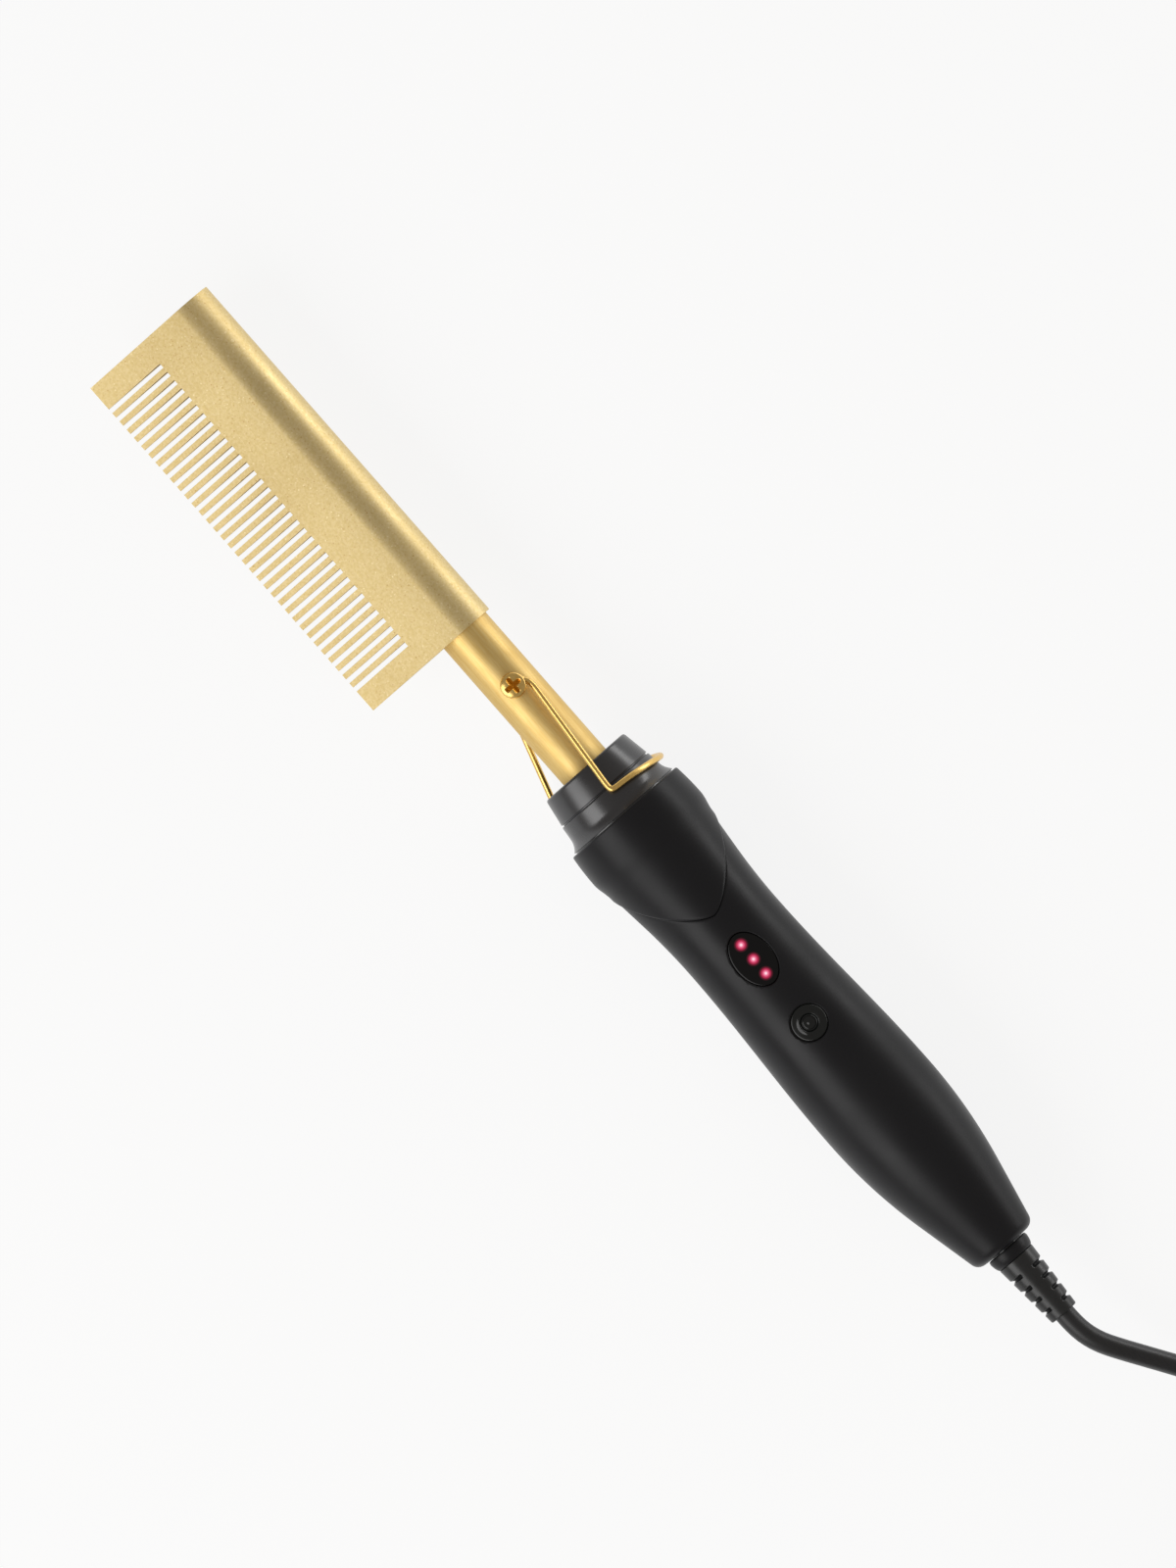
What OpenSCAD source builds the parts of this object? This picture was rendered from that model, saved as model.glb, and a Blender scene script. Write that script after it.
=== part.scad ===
// Electric hot comb: a heated metal comb on a tube neck, with a wire stand, a two-part handle
// and a swivelling mains cord. Millimetres. It lies on its back, with the teeth pointing to -Y.

/* [Comb] */
// Diameter of the comb's round spine
spine_d = 15; // [14:0.2:20]
// Reach from the long axis to the tips of the teeth
comb_reach = 27.9; // [22:0.1:36]
// Reach from the long axis to the roots of the slots
slot_reach = 12.15; // [10:0.05:16]
// Thickness of the comb at the tips of the teeth
tip_t = 2.4; // [1.6:0.1:4]
// Number of teeth between the two end guards
tooth_count = 34; // [20:1:44]
// Distance from one slot to the next
tooth_pitch = 2.5; // [2:0.1:4]
// Width of a slot
slot_w = 1.2; // [0.6:0.1:1.6]
// Length of the solid guard at the tip end
tip_guard = 6.4; // [4:0.2:12]
// Length of the solid guard at the neck end
heel_guard = 5.8; // [4:0.2:12]
// Diameter of the bore that holds the heater
heater_bore_d = 10.4; // [9:0.1:11]
// Thickness of the wall that closes the bore at the tip
bore_end_t = 6; // [3:0.5:10]

/* [Heater] */
// Length of the heater blocks
heater_block_l = 72; // [40:1:74]
// Thickness of the ceramic heater
ceramic_t = 1.4; // [1:0.1:2]
// Width of the ceramic heater
ceramic_w = 7.4; // [5:0.1:8]
// Length of the ceramic heater
ceramic_l = 54; // [20:1:64]
// Thickness of the insulating film round the ceramic heater
film_t = 0.25; // [0.1:0.05:0.4]
// Diameter of the temperature sensor
sensor_d = 1.8; // [1.2:0.1:2]
// Length of the temperature sensor
sensor_l = 5; // [3:0.5:8]
// Diameter of the thermal fuse
fuse_d = 3.6; // [3:0.1:4]
// Length of the thermal fuse
fuse_l = 9; // [6:0.5:11]
// Diameter of a heater lead
heater_lead_d = 1.6; // [1:0.1:1.8]
// Diameter of a sensor lead
sensor_lead_d = 0.7; // [0.5:0.05:0.8]

/* [Neck and stand] */
// Diameter of the neck tube
neck_d = 12.8; // [12.4:0.1:13.4]
// Wall of the neck tube
neck_wall = 0.8; // [0.6:0.1:1]
// Length of neck that shows between comb and handle
neck_l = 41.8; // [38:0.2:60]
// Depth of the neck tube in the comb
socket_depth = 10; // [6:0.5:11]
// Depth of the neck tube in the handle
neck_grip_l = 31; // [28:0.5:34]
// Distance from the comb to the stand's screws
stand_offset = 16.9; // [14:0.1:18]
// Diameter of the stand's wire
wire_d = 1.5; // [1.2:0.1:1.6]
// Clearance between the stand and its neighbours
stand_gap = 0.1; // [0.05:0.05:0.2]
// Diameter of the stand's screws
stand_screw_d = 3; // [2.5:0.1:3.2]
// Diameter of the heads of the stand's screws
stand_head_d = 5.9; // [5.4:0.1:6.4]
// Height of the heads of the stand's screws
stand_head_h = 2; // [1.4:0.1:2.4]
// Diameter of the threaded bar that both screws go into
spacer_d = 5; // [4.4:0.1:5.2]
// Radius of the stand's foot round the long axis
foot_r = 14.85; // [14.8:0.05:15.3]

/* [Nose] */
// Length of the front collar, with the groove behind it
heat_collar_l = 7.1; // [6:0.1:9]
// Length of the second collar, with the groove behind it
rest_collar_l = 6.7; // [6:0.1:9]
// Diameter of the front collar at its front
heat_collar_front_d = 23.6; // [22:0.2:24]
// Diameter of the front collar at its back
heat_collar_back_d = 25.9; // [24:0.1:26]
// Diameter of the second collar at its front
rest_collar_front_d = 26.2; // [25:0.1:26.6]
// Diameter of the second collar where it meets the nose cover
rest_collar_back_d = 29.8; // [28:0.1:30.4]
// Width of the grooves between the collars
groove_w = 0.4; // [0.2:0.1:0.8]
// Depth of the grooves between the collars
groove_depth = 0.7; // [0.4:0.1:1.2]
// Largest diameter of the nose cover, which the comb lies on
flare_d = 32.6; // [32:0.2:36]
// Thickness of the nose cover
cover_t = 1.25; // [1:0.05:1.5]
// Height of the cover's tongue above the handle
cover_proud = 0.45; // [0.2:0.05:0.8]
// Thickness of the nose cover's front wall
cover_front_t = 2.5; // [2:0.1:4]
// Length of the tongue that runs onto the handle
tongue_l = 17.8; // [12:0.2:22]
// Diameter of the bush that carries the neck
bush_d = 19; // [17:0.2:20]
// Diameter of the bush's flange
bush_flange_d = 22; // [21:0.2:23]
// Thickness of the bush's flange
bush_flange_t = 2; // [1.5:0.1:3]
// Diameter of the pin that locks the neck
neck_pin_d = 2.5; // [2:0.1:3]

/* [Handle] */
// Length of the handle behind the front of the nose cover
handle_l = 132.7; // [130:0.1:150]
// Diameter of the handle at its waist
waist_d = 26.6; // [26:0.1:28]
// Diameter of the handle at its belly
belly_d = 30; // [28:0.1:32]
// Distance from the front of the nose cover to the waist
waist_offset = 38; // [36:0.5:42]
// Distance from the waist to the belly
belly_offset = 51; // [44:0.5:56]
// Diameter to which the handle's tail falls at its end
tail_end_d = 16.6; // [16:0.1:20]
// Length over which the belly turns into the tail
tail_blend = 27.3; // [22:0.1:30]
// Radius of the corner at the handle's end
end_corner = 2.5; // [1:0.1:3]
// Wall of the handle's shells
shell_wall = 2.2; // [1.8:0.1:2.6]
// Diameter of the bosses that the shell screws go through
boss_d = 6; // [5.4:0.1:6.2]
// Diameter of the shell screws
shell_screw_d = 2.6; // [2.2:0.1:3]

/* [Controls] */
// Length of the oval indicator window
window_l = 14.4; // [12:0.1:18]
// Width of the oval indicator window
window_w = 9.6; // [8:0.1:12]
// Distance from the waist to the window's centre
window_offset = 6.7; // [5:0.1:9]
// Diameter of an indicator lamp
led_d = 3; // [2:0.1:3.6]
// Distance from one indicator lamp to the next
led_pitch = 4.3; // [4:0.1:5]
// Diameter of the button
button_d = 8.5; // [7:0.1:9]
// Clearance round the button
button_gap = 0.2; // [0.1:0.05:0.3]
// Distance from the waist to the button's centre
button_offset = 26; // [24:0.5:30]
// Travel of the button
button_travel = 0.5; // [0.3:0.1:0.6]
// Width of the control board
board_w = 18; // [16:0.5:18]
// Gap between the control board and the boss of the rear shell screw
board_gap = 1.6; // [1:0.1:6]
// Thickness of the control board
board_t = 1.2; // [0.8:0.1:1.6]

/* [Swivel and strain relief] */
// Diameter of the swivel's core
core_d = 7.2; // [6.6:0.1:7.6]
// Diameter of the flange that keeps the core in the handle
core_flange_d = 12; // [11:0.1:12.6]
// Running clearance round the core
swivel_gap = 0.1; // [0.05:0.05:0.2]
// Diameter of the slip rings
ring_d = 8.8; // [8.4:0.1:9.4]
// Gap between the handle's end and the swivel's collar
collar_gap = 0.3; // [0.2:0.1:0.6]
// Length of the swivel's collar
collar_l = 3.2; // [2.6:0.1:5]
// Diameter of the swivel's collar at the handle
collar_d = 11; // [10.6:0.1:12]
// Length of the ribbed strain relief
relief_l = 16.8; // [14:0.1:24]
// Diameter of the strain relief at the swivel
relief_front_d = 9.6; // [9:0.1:10.4]
// Diameter of the strain relief at the cord
relief_back_d = 7.2; // [6.8:0.1:8]
// Number of ribs on the strain relief
rib_count = 5; // [3:1:7]
// Width of the gaps between the ribs
rib_gap = 1.3; // [0.8:0.1:1.6]
// Width of the band that joins the ribs in front and behind
band_w = 3.6; // [2.4:0.1:4.4]

/* [Cord] */
// Diameter of the cord
cord_d = 5; // [4.6:0.1:5.2]
// Length of the hank's straight runs
hank_run = 75; // [60:1:85]
// Radius of the hank's innermost fold, to the middle of the cord
hank_fold = 15; // [15:0.1:18]
// Step from one loop of the hank to the next
hank_step = 5.6; // [5.6:0.1:6]
// Step from one layer of the hank to the next
hank_layer = 5.5; // [5.5:0.1:6]
// Depth by which the tie draws each run in
waist_draw = 6; // [3:0.1:7]
// Width of the cord tie
tie_w = 10; // [8:0.5:16]
// Thickness of the cord tie
tie_t = 1.2; // [0.8:0.1:1.4]

/* [Plug] */
// Width of the plug's face
plug_w = 35.3; // [34:0.1:37]
// Thickness of the plug
plug_t = 13.7; // [13:0.1:15]
// Length of the plug's body
plug_l = 22; // [18:0.5:28]
// Length of the plug's own strain relief
plug_neck_l = 10; // [8:0.5:14]
// Diameter of the plug's pins
pin_d = 4; // [3.8:0.1:4.8]
// Free length of the plug's pins
pin_l = 19; // [17:0.5:20]
// Distance between the plug's pins
pin_spacing = 18.6; // [17:0.1:19.4]
// Length of the rounded ends of the plug's pins
pin_tip_l = 1; // [0.5:0.1:1.5]

/* [Hidden] */
$fn = 64;

// Stations along the long axis, from the comb's tip
spine_r = spine_d / 2;
neck_r = neck_d / 2;
bore_r = heater_bore_d / 2;
comb_len = tip_guard + tooth_count * tooth_pitch + slot_w + heel_guard;
socket_x = comb_len - socket_depth;
collar_x = comb_len + neck_l;
rest_x = collar_x + heat_collar_l;
cover_x = rest_x + rest_collar_l;
neck_end = collar_x + neck_grip_l;
stand_x = comb_len + stand_offset;
waist_x = cover_x + waist_offset;
belly_x = waist_x + belly_offset;
handle_end = cover_x + handle_l;
swivel_x = handle_end + collar_gap;
relief_x = swivel_x + collar_l;
relief_end = relief_x + relief_l;

// The long axis lies one flare radius above the surface, and the box round comb and handle is centred
axis_h = flare_d / 2;
mid_x = relief_end / 2;
mid_y = (axis_h - comb_reach) / 2;
floor_z = -axis_h;
reach = 2.5 * axis_h;

// Outline of the handle: a waist, a belly and a straight tail with a round corner
waist_r = waist_d / 2;
belly_r = belly_d / 2;
front_swell = 1.35;
front_reach = 20;
front_straight = 15;
tail_slope = (belly_d - tail_end_d) / 2 / (handle_end - belly_x - tail_blend / 2);
tail_rise = tail_slope / (2 * tail_blend);
function front_r(d) = d < front_straight
    ? waist_r + front_swell * pow(d / front_reach, 2)
    : waist_r + front_swell * front_straight * (2 * d - front_straight) / pow(front_reach, 2);
function tail_r(d) = d < tail_blend
    ? belly_r - tail_rise * d * d
    : belly_r - tail_rise * tail_blend * tail_blend - tail_slope * (d - tail_blend);
function grip_r(x) = x < waist_x ? front_r(waist_x - x)
    : x < belly_x ? waist_r + (belly_r - waist_r) * (1 - cos(180 * (x - waist_x) / belly_offset)) / 2
    : tail_r(x - belly_x);
tail_angle = atan(tail_slope);
corner_x = handle_end - end_corner;
corner_y = grip_r(corner_x) - end_corner / cos(tail_angle);

// Outline of the nose cover: a rounded edge, the flare, and a fall to just above the handle
flare_x = cover_x + 8;
tongue_x = cover_x + 13.4;
edge_round = 0.5;
flare_drop = 0.5;
function ease(t) = t * t * (3 - 2 * t);
function cover_r(x) = x < flare_x
    ? axis_h - flare_drop * pow((flare_x - x) / (flare_x - cover_x), 2)
    : x < tongue_x
    ? axis_h + (grip_r(tongue_x) + cover_proud - axis_h) * ease((x - flare_x) / (tongue_x - flare_x))
    : grip_r(x) + cover_proud;
tongue_power = 1.45;
tongue_half = cover_r(tongue_x) + 0.1;

// Inside of the nose and the handle
shell_x = cover_x + cover_front_t;
flange_x = cover_x + 9;
bush_x = collar_x + 1.4;
bush_end = neck_end - 2;
cavity_x = flange_x + bush_flange_t + 3;
neck_pin_x = cover_x + 5.5;
rib_x = handle_end - 15;
catch_x = rib_x + 3.3;
catch_t = 3.4;
core_start = rib_x - 6.6;
front_screw_x = waist_x - 11;
rear_screw_x = rib_x - 10.1;
screw_seat = 8;
shell_head_r = shell_screw_d;
board_x = waist_x - 5;
board_l = rear_screw_x - boss_d / 2 - board_gap - board_x;
board_z = 4;
board_top = board_z + board_t;
function on_board(share) = board_x + board_l * share;
heater_pad_x = on_board(0.129);
sensor_pad_x = on_board(0.086);
power_pad_x = on_board(0.914);
board_screw_x = [board_x + 2.6, board_x + board_l - 2.2];
board_screw_y = 6.6;
board_screw_r = 0.9;
board_boss_r = 1.9;
window_x = waist_x + window_offset;
window_bottom = 9.9;
led_top = window_bottom - 0.3;
button_x = waist_x + button_offset;
switch_h = 3.5;
switch_w = 6;
flange_h = 1;
flange_bottom = board_top + switch_h + button_travel + 0.3;
plunger_r = 1.7;
plunger_l = 2;
holder_x = core_start - 0.4;
holder_l = 6.8;
holder_y = 4;
holder_top = -5.6;
holder_gap = 0.15;
holder_bottom = holder_gap - sqrt(pow(grip_r(rib_x) - shell_wall, 2) - pow(holder_y, 2));
ring_w = 1.8;
ring_x = [core_start + 0.8, core_start + 4];
screw_r = stand_screw_d / 2;
eye_r = screw_r + 0.05 + wire_d / 2;
eye_z = neck_r + wire_d / 2 + stand_gap;
head_z = eye_z + wire_d / 2 + stand_gap;

// Helpers
module placed() { translate([-mid_x, -mid_y, axis_h]) children(); }
module rod_x(x, l, r) { translate([x, 0, 0]) rotate([0, 90, 0]) cylinder(h = l, r = r); }
module turned(points) { rotate([0, 90, 0]) rotate_extrude($fn = 96) polygon(points); }
module across_x(x, l) { translate([x, 0, 0]) rotate([90, 0, 90]) linear_extrude(l) children(); }
module half(side) {
    translate([cover_x - reach, -reach, side > 0 ? 0 : -reach])
        cube([handle_l + 2 * reach, 2 * reach, reach]);
}
module post(x, y, z0, z1, r) { translate([x, y, z0]) cylinder(h = z1 - z0, r = r); }
module block(x, y, z, size) { translate([x, y - size[1] / 2, z]) cube(size); }
function steps(a, b, n) = [for (i = [0:n]) a + (b - a) * i / n];

// A tube swept along a list of points, each ring square to the route
function unit(v) = v / norm(v);
function heading(p, i) = i == 0 ? unit(p[1] - p[0])
    : i == len(p) - 1 ? unit(p[i] - p[i - 1])
    : unit(unit(p[i + 1] - p[i]) + unit(p[i] - p[i - 1]));
function sides_of(p, i, last) = i == len(p) ? []
    : let (t = heading(p, i), n = unit(last - (last * t) * t)) concat([n], sides_of(p, i + 1, n));
module tube(p, r, sides) {
    n = sides_of(p, 0, [0, 0, 1] + 0.01 * [1, 1, 0]);
    points = [for (i = [0:len(p) - 1]) let (t = heading(p, i), m = cross(t, n[i]))
        for (k = [0:sides - 1]) p[i] + r * (cos(360 * k / sides) * n[i] + sin(360 * k / sides) * m)];
    last = (len(p) - 1) * sides;
    skin = [for (i = [0:len(p) - 2]) for (k = [0:sides - 1])
        let (a = i * sides + k, b = i * sides + (k + 1) % sides)
        for (face = [[a, b + sides, b], [a, a + sides, b + sides]]) face];
    front = [for (k = [1:sides - 2]) [0, k, k + 1]];
    back = [for (k = [1:sides - 2]) [last, last + k + 1, last + k]];
    polyhedron(points = points, faces = concat(skin, front, back));
}

// Comb
wedge_sink = 0.02;
wedge_r = spine_r - wedge_sink;
wedge_hyp = norm([comb_reach, tip_t / 2]);
wedge_angle = acos(wedge_r / wedge_hyp) - atan2(comb_reach, tip_t / 2);
module comb_section() {
    circle(r = spine_r);
    touch = wedge_r * [sin(wedge_angle), cos(wedge_angle)];
    polygon([touch, [-comb_reach, tip_t / 2], [-comb_reach, -tip_t / 2], [touch[0], -touch[1]]]);
}
module comb_head() {
    color("#e2c889") placed() difference() {
        across_x(0, comb_len) comb_section();
        rod_x(bore_end_t, comb_len, bore_r);
        rod_x(socket_x, socket_depth + 1, neck_r);
        for (i = [0:tooth_count])
            translate([tip_guard + i * tooth_pitch, -comb_reach - 1, -spine_r])
                cube([slot_w, comb_reach + 1 - slot_reach, spine_d]);
    }
}

// Heater
heater_x = (bore_end_t + socket_x - heater_block_l) / 2;
ceramic_x = heater_x + (heater_block_l - ceramic_l) / 2;
film_half = ceramic_t / 2 + film_t;
sensor_x = heater_x + heater_block_l / 2;
sensor_z = film_half + 0.6 + sensor_d / 2;
module heater_block(side) {
    color("#b9bcc0") placed() difference() {
        rod_x(heater_x, heater_block_l, bore_r);
        translate([heater_x - 1, -bore_r - 1, side > 0 ? -2 * bore_r + film_half : -film_half])
            cube([heater_block_l + 2, 2 * bore_r + 2, 2 * bore_r]);
        if (side > 0) translate([0, 0, sensor_z]) rod_x(sensor_x, heater_block_l, sensor_d / 2);
    }
}
module heater_block_upper() { heater_block(1); }
module heater_block_lower() { heater_block(-1); }
module ceramic_heater() {
    color("#e9e4d6") placed() block(ceramic_x, 0, -ceramic_t / 2, [ceramic_l, ceramic_w, ceramic_t]);
}
module insulation_film() {
    color("#c98a2b") placed() difference() {
        block(ceramic_x, 0, -film_half, [ceramic_l, ceramic_w + 2 * film_t, 2 * film_half]);
        block(ceramic_x - 1, 0, -ceramic_t / 2, [ceramic_l + 2, ceramic_w, ceramic_t]);
    }
}
module temperature_sensor() {
    color("#2f6f4f") placed() translate([0, 0, sensor_z]) rod_x(sensor_x, sensor_l, sensor_d / 2);
}
lead_y = 4;
lead_sides = 8;
lead_fan_x = socket_x + 0.6 * socket_depth;
fuse_x = stand_x + 10;
fuse_y = neck_r - neck_wall - fuse_d / 2 - 0.2;
module thermal_fuse() {
    color("#d9d9d4") placed() translate([0, fuse_y, 0]) rod_x(fuse_x, fuse_l, fuse_d / 2);
}
module heater_leads() {
    r = heater_lead_d / 2;
    start = ceramic_x + ceramic_l;
    color("#c23b2e") placed() {
        tube([[start, -ceramic_w / 4, 0], [socket_x, -ceramic_w / 4, 0], [lead_fan_x, -lead_y, 0],
            [heater_pad_x, -lead_y, 0], [heater_pad_x, -lead_y, board_z]], r, lead_sides);
        tube([[start, ceramic_w / 4, 0], [socket_x, ceramic_w / 4, 0], [lead_fan_x, lead_y, 0],
            [fuse_x - 2, lead_y, 0], [fuse_x, fuse_y, 0]], r, lead_sides);
        tube([[fuse_x + fuse_l, fuse_y, 0], [fuse_x + fuse_l + 2, lead_y, 0],
            [heater_pad_x, lead_y, 0], [heater_pad_x, lead_y, board_z]], r, lead_sides);
    }
}
module sensor_leads() {
    r = sensor_lead_d / 2;
    start = sensor_x + sensor_l;
    beside = boss_d / 2 + sensor_lead_d;
    past = front_screw_x + boss_d / 2 + 1;
    color("#e8e8e8") placed() for (s = [-1, 1])
        tube([[start, s * 0.6 * sensor_lead_d, sensor_z], [socket_x, s * 0.6 * sensor_lead_d, sensor_z],
            [lead_fan_x, s * 3.4, 3.2], [neck_end + 2, s * 3.4, 3.2],
            [neck_end + 6, s * beside, board_z / 2], [past, s * beside, board_z / 2],
            [sensor_pad_x, s * 2, board_z / 2], [sensor_pad_x, s * 2, board_z]], r, lead_sides);
}

// Neck
module neck_tube() {
    color("#d9ab5a") placed() difference() {
        rod_x(socket_x, neck_end - socket_x, neck_r);
        rod_x(socket_x - 1, neck_end - socket_x + 2, neck_r - neck_wall);
        post(stand_x, 0, -neck_r - 1, neck_r + 1, screw_r + stand_gap);
        post(neck_pin_x, 0, -neck_r - 1, neck_r + 1, neck_pin_d / 2);
    }
}
spacer_end = sqrt(pow(neck_r - neck_wall, 2) - pow(spacer_d / 2, 2));
module pivot_spacer() {
    color("#c7a252") placed() difference() {
        post(stand_x, 0, -spacer_end, spacer_end, spacer_d / 2);
        post(stand_x, 0, -neck_r, neck_r, screw_r);
    }
}
cross_l = 3.4;
cross_w = 0.7;
cross_depth = 1;
module stand_screw() {
    difference() {
        union() {
            post(0, 0, 1, head_z + 0.2, screw_r);
            post(0, 0, head_z, head_z + stand_head_h, stand_head_d / 2);
        }
        for (a = [0, 90]) rotate([0, 0, a])
            block(-cross_l / 2, 0, head_z + stand_head_h - cross_depth, [cross_l, cross_w, 2 * cross_depth]);
    }
}
module stand_screws() {
    color("#caa04e") placed() translate([stand_x, 0, 0]) {
        stand_screw();
        rotate([180, 0, 0]) stand_screw();
    }
}

// Stand: near leg, foot round the spine side, far leg. It turns about the screws.
foot_x = rest_x + 1;
foot_top = 85;
foot_bulge = 2.2;
foot_back = 1.6;
far_y = 11.9;
function foot_point(a) = [
    foot_x - foot_back * (1 - sin(a)) / 2 + foot_bulge * pow(cos(a), 2), foot_r * cos(a), foot_r * sin(a)];
near_leg = [
    [stand_x - 0.4, eye_r, eye_z], [stand_x + 0.6, eye_r + 0.3, eye_z],
    [stand_x + 1.6, eye_r + 1.1, eye_z + 0.1], [stand_x + 3, eye_r + 1.3, eye_z + 0.4]];
near_bend = [foot_x - 1.2, 1, foot_r - 0.6];
far_bend = [
    [foot_x - foot_back, -far_y + 1, -foot_r], [foot_x - foot_back - 0.5, -far_y, -foot_r + 0.1],
    [foot_x - foot_back - 1.6, -far_y, -foot_r + 0.4]];
far_leg = [for (i = [3:-1:0]) [near_leg[i][0], -near_leg[i][1], -near_leg[i][2]]];
stand_route = concat(near_leg, [near_bend], [for (a = steps(foot_top, -90, 16)) foot_point(a)],
    [[foot_x - foot_back, -far_y / 2, -foot_r]], far_bend, far_leg);
module stand_wire() {
    color("#cfa14c") placed() {
        tube(stand_route, wire_d / 2, 12);
        for (s = [-1, 1]) translate([stand_x, 0, s * eye_z])
            rotate_extrude($fn = 48) translate([eye_r, 0]) circle(r = wire_d / 2, $fn = 24);
    }
}

// Nose
bush_r = bush_d / 2;
lip_gap = 0.3;
module neck_bush() {
    color("#5a4a3c") placed() difference() {
        union() {
            rod_x(bush_x, bush_end - bush_x, bush_r);
            rod_x(flange_x, bush_flange_t, bush_flange_d / 2);
        }
        rod_x(bush_x - 1, bush_end - bush_x + 2, neck_r);
        post(neck_pin_x, 0, -bush_r - 1, bush_r + 1, neck_pin_d / 2);
    }
}
module neck_pin() {
    color("#a8a8a8") placed() post(neck_pin_x, 0, -bush_r + 0.3, bush_r - 0.3, neck_pin_d / 2);
}
module heat_collar() {
    front = heat_collar_front_d / 2;
    back = heat_collar_back_d / 2;
    color("#1d1c1c") placed() turned([
        [neck_r + lip_gap, collar_x], [front - 0.5, collar_x], [front, collar_x + 0.5],
        [back, rest_x - groove_w], [back - groove_depth, rest_x - groove_w],
        [back - groove_depth, rest_x], [bush_r, rest_x], [bush_r, bush_x], [neck_r + lip_gap, bush_x]]);
}
module rest_collar() {
    front = rest_collar_front_d / 2;
    back = rest_collar_back_d / 2;
    fillet_x = rest_x + (rest_collar_l - groove_w) / 2;
    color("#1b1a1a") placed() turned(concat(
        [[bush_r, rest_x], [front - 0.2, rest_x], [front, rest_x + 0.2]],
        [for (t = steps(0, 1, 6)) [
            front + 0.4 + (back - front - 0.4) * t * t, fillet_x + (cover_x - groove_w - fillet_x) * t]],
        [[back - groove_depth, cover_x - groove_w], [back - groove_depth, cover_x], [bush_r, cover_x]]));
}

// The cover reaches back to a tongue in front and another behind; this is its outline from the front
tongue_points = [for (a = steps(90, -90, 24)) let (c = max(cos(a), 0), s = sin(a)) [
    tongue_x + tongue_l * pow(c, 2 / tongue_power),
    tongue_half * sign(s) * pow(abs(s), 2 / tongue_power)]];
module cover_outline(margin) {
    translate([0, 0, -reach]) linear_extrude(2 * reach) polygon(concat(
        [[cover_x - 5, reach], [tongue_x, reach]],
        [for (p = tongue_points) [p[0] + margin, p[1]]],
        [[tongue_x, -reach], [cover_x - 5, -reach]]));
}
cover_end = tongue_x + tongue_l + 1;
cover_stations = concat(steps(cover_x + edge_round, flare_x, 4), steps(flare_x + 1, tongue_x, 5),
    steps(tongue_x + 3, cover_end, 6));
module cover_solid(inset) {
    turned(concat([[0, cover_x], [cover_r(cover_x) - edge_round - inset, cover_x]],
        [for (x = cover_stations) [cover_r(x) - inset, x]], [[0, cover_end]]));
}
module nose_cover() {
    color("#201f1f") placed() difference() {
        intersection() {
            cover_solid(0);
            cover_outline(0);
        }
        difference() {
            cover_solid(cover_t);
            rod_x(cover_x - 1, cover_front_t + 1, axis_h + 1);
        }
        rod_x(cover_x - 1, cover_front_t + 2, bush_r);
    }
}

// Handle shells
grip_stations = concat(steps(shell_x, waist_x, 9), steps(waist_x + 6, belly_x, 7),
    steps(belly_x + 4.5, belly_x + tail_blend, 5), [corner_x - 0.6]);
corner_points = [for (a = steps(90 - tail_angle, 0, 5)) [
    corner_y + end_corner * sin(a), corner_x + end_corner * cos(a)]];
module grip_solid() {
    turned(concat([[0, shell_x]], [for (x = grip_stations) [grip_r(x), x]], corner_points,
        [[0, handle_end]]));
}
function skin_r(x) = x < cover_end ? cover_r(x) - cover_t : grip_r(x);
cavity_stations = concat(steps(cavity_x, waist_x, 5), steps(waist_x + 10, belly_x, 4),
    steps(belly_x + 8, rib_x, 3));
module cavity() {
    difference() {
        turned(concat([[0, cavity_x]],
            [for (x = cavity_stations) [skin_r(x) - shell_wall, x]],
            [[0, rib_x]]));
        for (x = [front_screw_x, rear_screw_x]) post(x, 0, -axis_h, axis_h, boss_d / 2);
    }
}
module shell_body(side) {
    difference() {
        union() {
            difference() {
                grip_solid();
                cover_outline(0.1);
            }
            intersection() {
                cover_solid(cover_t);
                rod_x(shell_x, handle_l, axis_h + 1);
            }
        }
        half(-side);
        cavity();
        rod_x(shell_x - 1, cavity_x - shell_x + 2, bush_r);
        rod_x(flange_x, bush_flange_t, bush_flange_d / 2);
        rod_x(rib_x - 1, handle_end - rib_x + 2, core_d / 2 + swivel_gap);
        rod_x(catch_x, catch_t, core_flange_d / 2 + 2 * swivel_gap);
    }
}
module oval_prism(l, w, z0, z1) {
    translate([window_x, 0, z0]) linear_extrude(z1 - z0)
        polygon([for (a = steps(0, 350, 35)) [l / 2 * cos(a), w / 2 * sin(a)]]);
}
module front_shell() {
    color("#262525") placed() difference() {
        union() {
            shell_body(1);
            intersection() {
                for (x = board_screw_x) for (s = [-1, 1])
                    post(x, s * board_screw_y, board_top, axis_h, board_boss_r);
                turned(concat([[0, cavity_x]], [for (x = cavity_stations) [grip_r(x) - 1, x]], [[0, rib_x]]));
            }
        }
        oval_prism(window_l, window_w, window_bottom, axis_h + 1);
        post(button_x, 0, board_top, axis_h + 1, button_d / 2 + button_gap);
        for (x = [front_screw_x, rear_screw_x]) post(x, 0, -1, screw_seat, shell_screw_d / 2);
        for (x = board_screw_x) for (s = [-1, 1])
            post(x, s * board_screw_y, board_top - 1, board_top + 3, board_screw_r);
    }
}
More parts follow.
